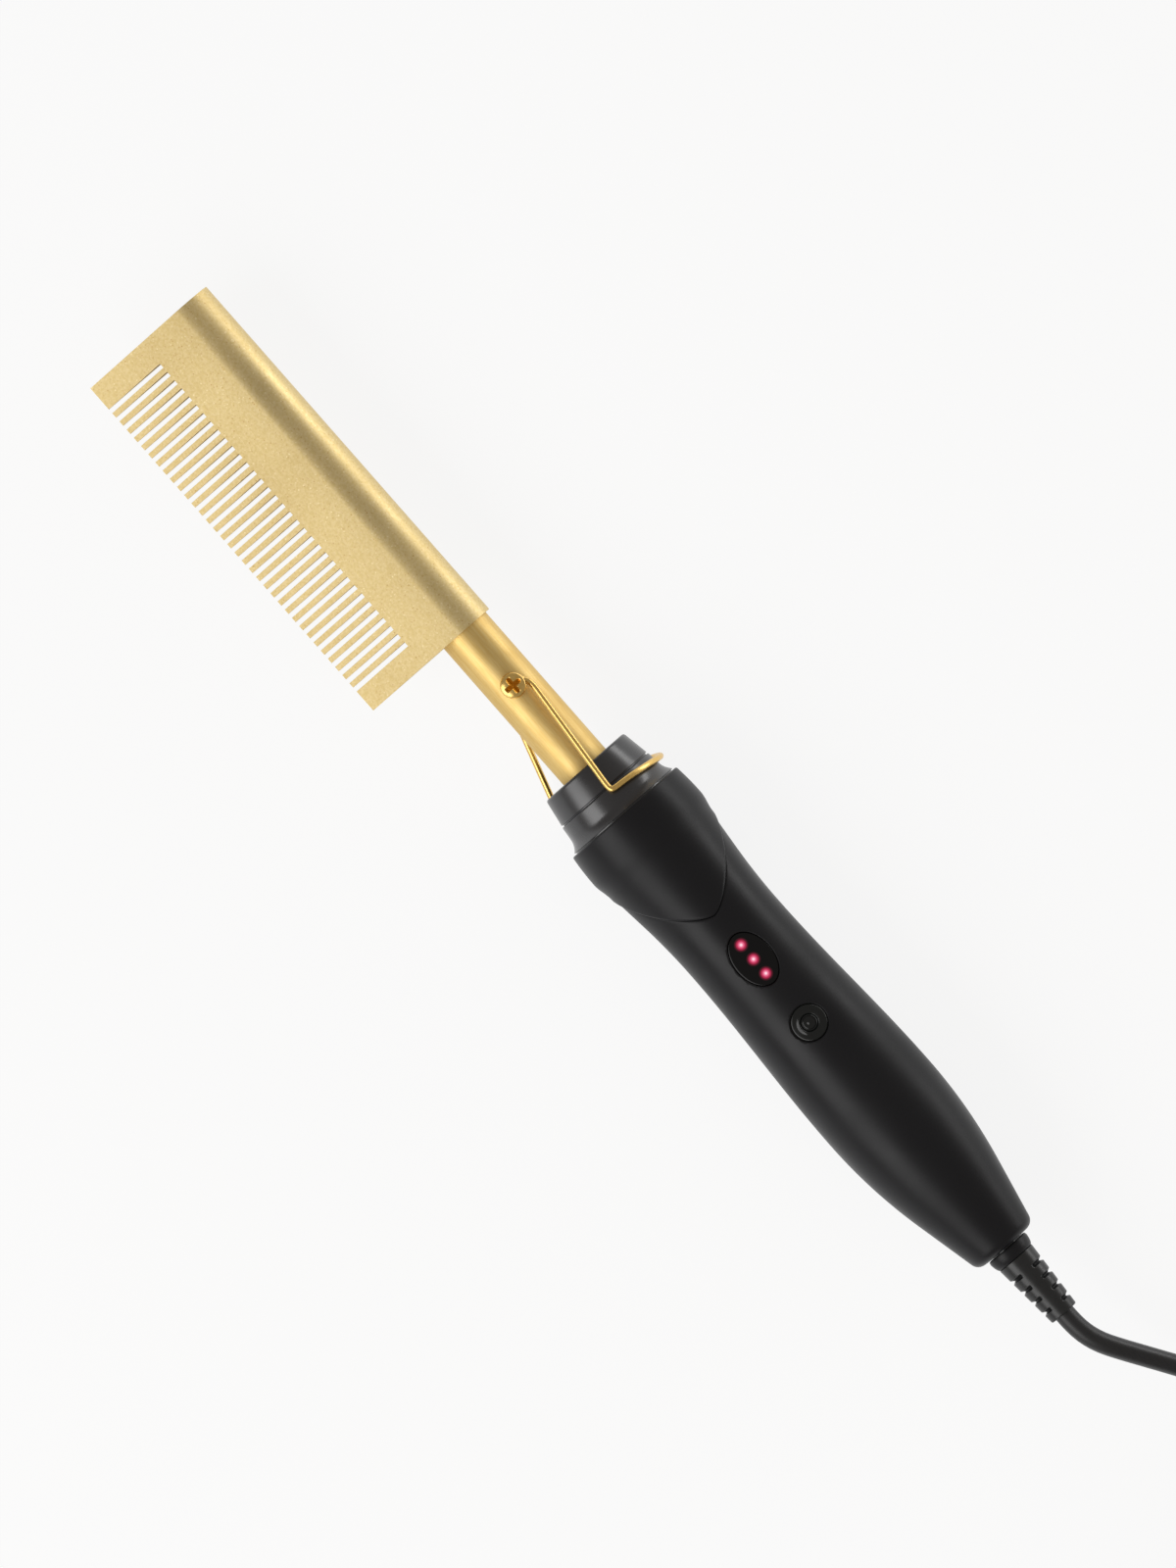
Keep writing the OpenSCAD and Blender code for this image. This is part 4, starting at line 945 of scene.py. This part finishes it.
@dataclass
class HeatedComb:
    """The comb: a round spine that tapers to a thin edge, cut by a row of slots.

    reach is the distance from the long axis to the teeth's tips, and half_tip half the thickness
    there. Slots start at slot_root.
    """

    length: float = 98.4
    spine_r: float = 7.5
    reach: float = 27.9
    half_tip: float = 1.2
    slot_root: float = -12.15
    first_slot: float = 6.4
    pitch: float = 2.5
    slot: float = 1.2
    slots: int = 35

    def section(self) -> Array:
        """Half section as rows of (y, half thickness): the flat side, then the spine's round.

        The flat side is the tangent from the edge to the spine's circle, so it meets the circle at
        the angle whose cosine is radius over distance, less the edge's own angle.
        """
        hyp = math.hypot(self.reach, self.half_tip)
        touch = math.acos(self.spine_r / hyp) - math.atan2(self.reach, self.half_tip)
        y1, z1 = self.spine_r * math.sin(touch), self.spine_r * math.cos(touch)
        y = np.array([-self.reach, -20.0, self.slot_root, -6.0, y1])
        z = self.half_tip + (z1 - self.half_tip) * (y + self.reach) / (y1 + self.reach)
        a = ramp(touch, math.pi / 2, 26)[1:]
        return np.concatenate([joined(y, z), self.spine_r * joined(np.sin(a), np.cos(a))])

    def build(self) -> None:
        """Makes both skins from the half section, without the slots, and walls every open side.

        A cell of the skins' grid is solid unless it lies in a slot. Walls stand on each line of
        the grid that has a solid cell on one side only; the spine's own line is shared.
        """
        starts = self.first_slot + self.pitch * np.arange(self.slots)
        x = np.concatenate([[0.0], joined(starts, starts + self.slot).ravel(), [self.length]])
        half = self.section()
        front = joined(x, half[:, :1], half[:, 1:])
        rows, columns = front.shape[:2]
        toothed = (half[:-1, 0] < self.slot_root - 0.01)[:, None]
        solid = ~(toothed & (np.arange(columns - 1) % 2 == 1)[None, :])
        shape = Surface()
        f = shape.add(front)
        b = shape.add(front * (1, 1, -1))
        index = np.arange(rows * columns).reshape(rows, columns)
        corners = (index[:-1, :-1], index[:-1, 1:], index[1:, 1:], index[1:, :-1])
        cells = np.stack([corner[solid] for corner in corners], 1)
        padded = np.pad(solid, 1)
        side = padded[1:-1, :-1] != padded[1:-1, 1:]
        edge = (padded[:-1, 1:-1] != padded[1:, 1:-1])[:-1]
        walls = np.concatenate([joined(index[:-1][side], index[1:][side]),
                                joined(index[:-1, :-1][edge], index[:-1, 1:][edge])])
        shape.faces += (cells + f).tolist() + (cells + b).tolist()
        shape.faces += np.concatenate([walls + f, walls[:, ::-1] + b], 1).tolist()
        comb = finished(shape.mesh("heated_comb"), COMB_GOLD, "comb_gold", "comb_head")
        bevel(comb, 0.22)


@dataclass
class NeckAndStand:
    """The neck tube, the two cross-head screws, and the wire stand that turns on them.

    A screw's head falls from head_top by dome times the radius squared, down to its rounded rim.
    foot is the foot's place and radius, its bulge and its lean.
    """

    neck_r: float = 6.4
    stand_x: float = 115.3
    head_r: float = 2.95
    head_top: float = 10.15
    dome: float = 0.085
    rim: float = 0.35
    eye_r: float = 2.3
    eye_z: float = 7.25
    wire_r: float = 0.75
    foot: tuple[float, float, float, float] = (148.3, 14.85, 2.2, 1.6)

    def tube(self) -> Piece:
        """The neck tube, from its socket in the comb to its bush in the handle."""
        outer, inner = self.neck_r, self.neck_r - 0.8
        profile = np.array([[89.0, inner], [89.0, outer], [171.2, outer], [171.2, inner]])
        return Surface().turned(profile, 128).mesh("neck_tube_gold")

    def screw(self, shape: Surface, side: int) -> None:
        """Adds one screw: a domed head with a cross recess, and its shank.

        The head's height falls with the square of the radius. The recess is two crossed grooves
        whose depth grows evenly from their sides to their middle, and eases out at their ends.

        Args:
            shape: the surface that it is added to.
            side: 1 for the front screw, -1 for the one behind.
        """
        a = round_angles(144)
        shoulder = self.head_r - self.rim
        half_width, half_length, fade, depth = 0.62, 2.2, 0.6, 1.15
        r = np.concatenate([ramp(0.04, 1.0, 26), ramp(1.1, shoulder, 16)])[:, None]
        recess = crossed(r, a, lambda across, along: (
            np.clip(1 - across / half_width, 0, 1) * ease((half_length - along) / fade)))
        top = about_upright(r, self.head_top - self.dome * r ** 2 - depth * recess, a)
        t = ramp(0.12, 1, 6) * np.pi / 2
        rim = joined(shoulder + self.rim * np.sin(t),
                     self.head_top - self.dome * shoulder ** 2 - 0.5 * (1 - np.cos(t)))
        below = [[self.head_r, 8.12], [1.45, 8.12], [1.45, 2.0]]
        radius, z = np.hsplit(np.concatenate([rim, below]), 2)
        rows = np.concatenate([top, about_upright(radius, z, a)])
        shape.capped(rows * (1, side, side) + (self.stand_x, 0, 0))

    def leg(self) -> Array:
        """Front leg: the eye's loop round the screw, then the run towards the handle."""
        loop = about_upright(self.eye_r, self.eye_z, np.radians(ramp(415, 104, 40)))
        return np.concatenate([loop + (self.stand_x, 0, 0), [
            (115.9, 2.6, 7.25), (116.9, 3.4, 7.35), (118.3, 3.6, 7.65)]])

    def wire(self) -> Piece:
        """The stand: leg, foot round the spine's side of the collar, and the same leg behind.

        The foot goes round the long axis at one radius; it bulges towards the handle by the
        square of the cosine and leans by the sine. It ends in a hook round the back.
        """
        x, r, bulge, lean = self.foot
        a = np.radians(ramp(85, -90, 17))
        foot = about_long(x - lean * (1 - np.sin(a)) / 2 + bulge * np.cos(a) ** 2, r, a)
        hook = [(146.7, -5.95, -r), (146.7, -10.9, -r), (146.2, -11.9, 0.1 - r),
                (145.1, -11.9, 0.4 - r)]
        leg = self.leg()
        line = smooth_route(np.concatenate([
            leg, [(x - 1.2, 1, r - 0.6)], foot, hook, leg[::-1] * (1, -1, -1)]), reach=1.9)
        return Surface().tube(resampled(line, 0.35), circle(self.wire_r, 16)).mesh("wire_stand")

    def build(self) -> None:
        """Makes tube, screws and stand."""
        finished(self.tube(), NECK_GOLD, "neck_gold", "neck_tube")
        screws = Surface()
        for side in (1, -1):
            self.screw(screws, side)
        heads = screws.mesh("cross_head_screws", 28)
        finished(heads, BRIGHT_GOLD, "gold_steel", "stand_screws")
        finished(self.wire(), BRIGHT_GOLD, "gold_steel", "stand_wire", body="stand")


@dataclass
class Nose:
    """The two black collars and the flared cover with its tongue onto the handle.

    All three sit on a bush of bush_r; sides are the steps round the collars.
    """

    sides: int = 256
    bush_r: float = 9.5

    def heat_collar(self) -> Piece:
        """Front collar: a cone with a rounded front edge and a groove behind it."""
        b = self.bush_r
        corners = [(140.2, 6.7), (140.2, 11.8), (146.95, 12.95), (146.95, 12.5), (147.3, 12.5),
                   (147.3, b), (141.6, b), (141.6, 6.7)]
        profile = rounded_corners(corners, (0.2, 0.7, 0.25, 0.1, 0.1, 0.1, 0.1, 0.1))
        return Surface().turned(profile, self.sides).mesh("heat_collar_ring")

    def rest_collar(self) -> Piece:
        """Second collar: almost straight, then a flare that grows by a square, and a groove."""
        b = self.bush_r
        t = ramp(0, 1, 10)
        front = rounded_corners([(147.3, b), (147.3, 13.1), (150.45, 13.42)], (0.2, 0.35, 0.2),
                                closed=False)
        flare = joined(150.45 + 3.15 * t, 13.45 + 1.45 * t ** 2)
        groove = [(153.7, 14.85), (153.7, 14.5), (154.0, 14.5), (154.0, b)]
        profile = np.concatenate([front, flare, groove])
        return Surface().turned(profile, self.sides).mesh("rest_collar_ring")

    def cover(self) -> Piece:
        """The cover: rows from its rounded front edge to its end at each angle, and back inside.

        The front edge is a quarter round; the end is a quarter of an ellipse.
        """
        a = round_angles(384)
        end = cover_end(a)
        lip, edge, drop = 0.5, 0.85, 0.42
        front, inside = COVER_X + lip, COVER_X + 2.5
        t = ramp(0, np.pi / 2, 8)[:, None]
        x = front + (end - edge - front) * ramp(0, 1, 44)[1:, None]
        rim_x = end - edge + edge * np.sin(t)
        rim_r = cover_r(end - edge * (1 - np.sin(t))) - drop * (1 - np.cos(t))
        back = inside + (end - 0.1 - inside) * ramp(1, 0, 20)[:, None]
        rows = [(front - lip * np.sin(t[::-1]), cover_r(front) - lip + lip * np.cos(t[::-1])),
                (x, cover_r(x)), (rim_x[1:], rim_r[1:]), (back, cover_r(back) - COVER_T),
                (np.array([[inside], [COVER_X]]), self.bush_r)]
        skin = np.concatenate([about_long(*row, a) for row in rows])
        return Surface().grid(skin, wrap_rows=True, wrap_columns=True).mesh("flared_nose_cover", 50)

    def build(self) -> None:
        """Makes the collars and the cover."""
        finished(self.heat_collar(), COLLAR_BLACK, "collar_black", "heat_collar")
        finished(self.rest_collar(), COLLAR_BLACK, "collar_black", "rest_collar")
        finished(self.cover(), SOFT_BLACK, "soft_black", "nose_cover")


@dataclass
class Handle:
    """The two shells, the lit window, the button, and the screws behind.

    start_x is where the shells start under the cover, and hole_r the radius of the cord's hole.
    seam is half the width and the depth of the groove between the shells. window is half the
    window's length and width, clearance lies round the button, and well_r is the radius inside
    the cups that hold the screws.
    """

    start_x: float = 156.5
    wall: float = 2.2
    hole_r: float = 3.75
    seam: Pair = (0.28, 0.25)
    crease: float = 45.0
    window_at: float = 198.7
    window: Pair = (7.2, 4.8)
    lamp_pitch: float = 4.3
    button_at: float = 218.0
    button_r: float = 4.25
    clearance: float = 0.2
    screws_at: Pair = (181.0, 261.6)
    well_r: float = 2.8

    def skin(self, a: Array) -> tuple[Array, Array]:
        """Places along the axis and radii of a shell's outside, rows by angles.

        Rows run under the cover to its end at each angle, rise from a narrow gap behind it, even
        out up to the waist, and go on square to the axis to the corner round the cord's hole.

        Args:
            a: angles round the axis, one row.

        Returns:
            The places and the radii.
        """
        end = cover_end(a)
        under = self.start_x + (end + 0.1 - self.start_x) * ramp(0, 1, 12)[:, None]
        lip = end + np.array([[0.14], [0.18], [0.35], [0.7]])
        front = lip[-1:] + (WAIST_X - lip[-1:]) * ramp(0, 1, 24)[1:, None]
        slope = math.atan(TAIL_SLOPE)
        corner_x = HANDLE_END - END_CORNER
        corner_r = float(grip_r(corner_x)) - END_CORNER / math.cos(slope)
        turn = ramp(math.pi / 2 - slope, 0, 9)[:, None]
        behind = np.concatenate([ramp(WAIST_X + 0.9, 224, 36), ramp(225.5, corner_x, 38)])
        behind = behind[behind < corner_x + END_CORNER * math.sin(slope) - 0.3][:, None]
        rows = [(under, np.minimum(grip_r(under), cover_r(under) - COVER_T)),
                (lip, grip_r(lip) - [[0.75], [0.12], [0.03], [0.0]]),
                (front, grip_r(front)), (behind, grip_r(behind)),
                (corner_x + END_CORNER * np.cos(turn), corner_r + END_CORNER * np.sin(turn)),
                ([[HANDLE_END]], self.hole_r)]
        outline = np.concatenate([joined(*row, a) for row in rows])
        return outline[..., 0], outline[..., 1]

    def shell(self, name: str, side: int) -> Piece:
        """One shell: half a turn of the outline with its wall, its long edges rounded off.

        Near the parting plane the radius falls as a quarter round, which leaves a fine groove.

        Args:
            name: the object's name.
            side: 1 for the front shell, -1 for the rear one.

        Returns:
            The shell.
        """
        step = np.array([0, 0.4, 0.8, 1.3, 2.2])
        a = np.radians(np.concatenate([step, ramp(4, 176, 87), 180 - step[::-1]]))[None, :]
        x, r = self.skin(a)
        off = np.minimum(a, np.pi - a) * r
        width, depth = self.seam
        groove = np.where(r > self.hole_r + depth, round_off(1 - off / width, depth), 0)
        inner_x = np.minimum(x, HANDLE_END - self.wall)
        inner_r = np.maximum(r - self.wall, self.hole_r)
        outer, inner = [about_long(*skin, a) * (1, 1, side)
                        for skin in ((x, r - groove), (inner_x, inner_r))]
        shape = Surface().grid(outer).grid(inner)
        for line in ((slice(None), 0), (slice(None), -1), 0, -1):
            shape.grid(np.stack([outer[line], inner[line]]))
        return shape.mesh(name, self.crease)

    def well(self, at: float, half: Pair, flare: float) -> Piece:
        """Cutter for an opening in the skin: upright walls with a small flare along the skin.

        Args:
            at: the opening's place along the long axis.
            half: half its length and half its width.
            flare: width and depth of the flare.

        Returns:
            The cutter, which reaches well past the wall on both sides.
        """
        a = round_angles(144)
        grow = np.array([0, 0, 0.12, 0.45, 1, 1, 1])[:, None] * flare
        grow[-2:] += 0.3
        x, y = at + (half[0] + grow) * np.cos(a), (half[1] + grow) * np.sin(a)
        sunk = np.array([0, flare + 0.05, 0.6 * flare, 0.25 * flare, -0.02, -0.4, 0])
        z = skin_z(x, y) - sunk[:, None]
        z[0], z[-1] = 8.0, 20.0
        return Surface().capped(joined(x, y, z)).mesh("cutter")

    def lens(self) -> Piece:
        """The oval lens: flatter across than the skin and sunk in it, with its rim rounded off."""
        a = round_angles(120)
        clear, sunk, corner = 0.06, 0.55, 0.5
        w, h = self.window[0] - clear, self.window[1] - clear
        inset = corner - crowded(corner, corner, 0, 7)
        inset = np.concatenate([ramp(4.5, corner + 0.1, 14), inset])[:, None]
        x = self.window_at + w * (1 - 0.72 * inset / h) * np.cos(a)
        y = (h - inset) * np.sin(a)
        top = skin_z(x, 0.7 * y) - sunk - round_off(1 - inset / corner, 0.25)
        foot = joined(x[-1:], y[-1:], 9.95)
        return Surface().capped(joined(x, y, top), foot).mesh("window_lens")

    def button(self) -> Piece:
        """The button: it follows the skin at its rim, and has a dish, a ring and a middle dot.

        The dish is a ball of 12 mm radius, the ring a groove and ridge by two bells over the
        radius, and the dot a small bell.
        """
        a = round_angles(120)
        ball, corner = 12.0, 0.3
        r = np.concatenate([ramp(0.05, 3.9, 60), crowded(self.button_r, corner, 0.1, 6)])[:, None]
        x, y = self.button_at + r * np.cos(a), r * np.sin(a)
        dish = float(grip_r(self.button_at)) + ball - 0.5 - np.sqrt(ball ** 2 - r ** 2)
        edge = round_off((r - self.button_r + corner) / corner, corner)
        z = np.minimum(dish, skin_z(x, y) - 0.1) - edge
        z = z - 0.3 * bell(r - 1.75, 0.32) + 0.22 * bell(r - 2.35, 0.36) + 0.28 * bell(r, 0.45)
        foot = joined(x[-1:], y[-1:], 10.1)
        flange = about_upright(5.1, [[10.1], [9.6]], a) + (self.button_at, 0, 0)
        return Surface().capped(joined(x, y, z), foot, flange).mesh("push_button", 30)

    def screws(self) -> tuple[Piece, Piece]:
        """The two shell screws with cross recesses, and the cups in the rear shell."""
        heads, cups = Surface(), Surface()
        a = round_angles(96)
        r = ramp(0.04, 2.3, 34)[:, None]
        crown, dome, half_width, half_length, depth = 10.0, 0.06, 0.38, 1.6, 0.9
        recess = crossed(r, a, lambda across, along: (
            ease((half_width - across) / 0.14) * ease((half_length - along) / 0.2)))
        top = about_upright(r, dome * r ** 2 + depth * recess - crown, a)
        below = np.array([[2.5, -9.55], [2.6, -9.3], [2.6, -8.0], [1.3, -8.0], [1.3, 7.9]])
        sides = about_upright(below[:, :1], below[:, 1:], a)
        w = self.well_r
        cup = rounded_corners([(-12.6, w), (-8.05, w), (-8.05, 1.5), (-6.8, 1.5), (-6.8, w + 0.7),
                               (-12.6, w + 0.7)], 0.15)
        for x in self.screws_at:
            heads.capped(top + (x, 0, 0), sides + (x, 0, 0))
            cups.turned(cup, 72, axis=Axis.UPRIGHT, at=(x, 0.0))
        return heads.mesh("shell_screws_zinc", 28), cups.mesh("screw_cups")

    def build(self) -> None:
        """Makes the shells with their openings, then what sits in them."""
        front = self.shell("front_handle_shell", 1)
        half = self.button_r + self.clearance
        cut(front, self.well(self.window_at, self.window, 0.3), self.crease)
        cut(front, self.well(self.button_at, (half, half), 0.25), self.crease)
        finished(front, SOFT_BLACK, "soft_black", "front_shell")
        rear = self.shell("rear_handle_shell", -1)
        hole = np.array([[-20.0, self.well_r + 0.35], [-8.2, self.well_r + 0.35]])
        for x in self.screws_at:
            cutter = Surface().turned(hole, caps=True, axis=Axis.UPRIGHT, at=(x, 0.0))
            cut(rear, cutter.mesh("cutter"), self.crease)
        finished(rear, SOFT_BLACK, "soft_black", "rear_shell")
        # Smoked ABS of the window: a black mirror until the lamps shine through it
        lit = LitWindow("smoked_polished_abs", "#0b0b0c", "#0d0d0e", 0.12, spread=0.03,
                        relief=0.0005, specular=0.2, lamps=tuple(
                            (self.window_at + k * self.lamp_pitch, 0.0) for k in (-1, 0, 1)))
        finished(self.lens(), lit, "window_black", "indicator_window")
        finished(self.button(), BUTTON_BLACK, "button_black", "button_cap", body="button")
        heads, cups = self.screws()
        finished(heads, ZINC_STEEL, "plated_steel", "shell_screws")
        finished(cups, SOFT_BLACK, "soft_black")


@dataclass
class CordEnd:
    """What turns with the cord: the swivel's collar and the ribbed strain relief.

    The ribs are parted by gaps, but for a smooth band in front and one behind. start_r is the
    relief's first radius and taper its fall to the end; hole_r is the radius of the collar's hole.
    """

    front_x: float = 287.0
    relief_x: float = 290.2
    end_x: float = 307.0
    hole_r: float = 3.65
    start_r: float = 4.8
    taper: float = 1.2
    ribs: int = 5
    gap: float = 1.05
    depth: float = 0.85
    band: float = 3.6

    def collar(self) -> Piece:
        """The collar: a short bell from the handle down to the strain relief."""
        a = np.radians(ramp(12, 88, 10))
        front, back, hole = self.front_x, self.relief_x, self.hole_r
        profile = np.concatenate([[(front, hole), (front, 5.1), (front + 0.1, 5.35)],
                                  joined(front + 3.2 * np.sin(a), 4.4 + 1.1 * np.cos(a)),
                                  [(back, 4.38), (back, hole)]])
        return Surface().turned(profile, 128).mesh("swivel_bell", 50)

    def relief(self) -> Piece:
        """The strain relief: a taper whose radius drops in the gaps, but for its two bands.

        The drop is a product of eased steps: one along x at each gap, one across the band.
        """
        corner, fade = 0.3, 0.7
        length = self.end_x - self.relief_x
        x = np.concatenate([ramp(self.relief_x, self.end_x - corner, 190),
                            crowded(self.end_x, corner, 0.2, 5)])[:, None]
        a = round_angles(144)
        body = self.start_r - self.taper * (x - self.relief_x) / length
        pitch = (length + self.gap - 1) / self.ribs
        half_rib = 0.5 * (pitch - self.gap)
        first = self.relief_x + 1 + pitch - self.gap
        phase = np.mod(x - first + half_rib, pitch) - half_rib
        into = ease(phase / fade + 0.2) * ease((self.gap - phase) / fade + 0.2)
        into = into * (x > first - 0.3) * (x < self.end_x - 1.2)
        beside = ease((np.abs(body * np.cos(a)) - self.band / 2) / 0.4 + 0.5)
        edge = round_off((x - self.end_x + corner) / corner, corner)
        radius = body - edge - self.depth * into * beside
        return Surface().capped(about_long(x, radius, a)).mesh("ribbed_relief", 50)

    def build(self) -> None:
        """Makes collar and strain relief."""
        finished(self.collar(), SOFT_BLACK, "button_black", "swivel_collar", body="swivel")
        finished(self.relief(), RELIEF_RUBBER, "relief_rubber", "strain_relief", body="swivel")


def dress_carried_over() -> None:
    """Gives each CAD node that stays its own real material."""
    for finish, nodes in CARRIED_OVER.items():
        for name in nodes:
            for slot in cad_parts[name].material_slots:
                slot.material = finish.material()
            log.info("%s is dressed as %s", name, finish.name)


def main() -> None:
    """Builds the scene in order, camera and cord first."""
    logging.basicConfig(level=logging.INFO, format="%(name)s: %(message)s")
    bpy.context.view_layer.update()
    for part in (Studio(), MainsCord(), HeatedComb(), NeckAndStand(), Nose(), Handle(), CordEnd()):
        log.info("building %s", type(part).__name__)
        part.build()
    dress_carried_over()


if __name__ == "__main__":
    main()
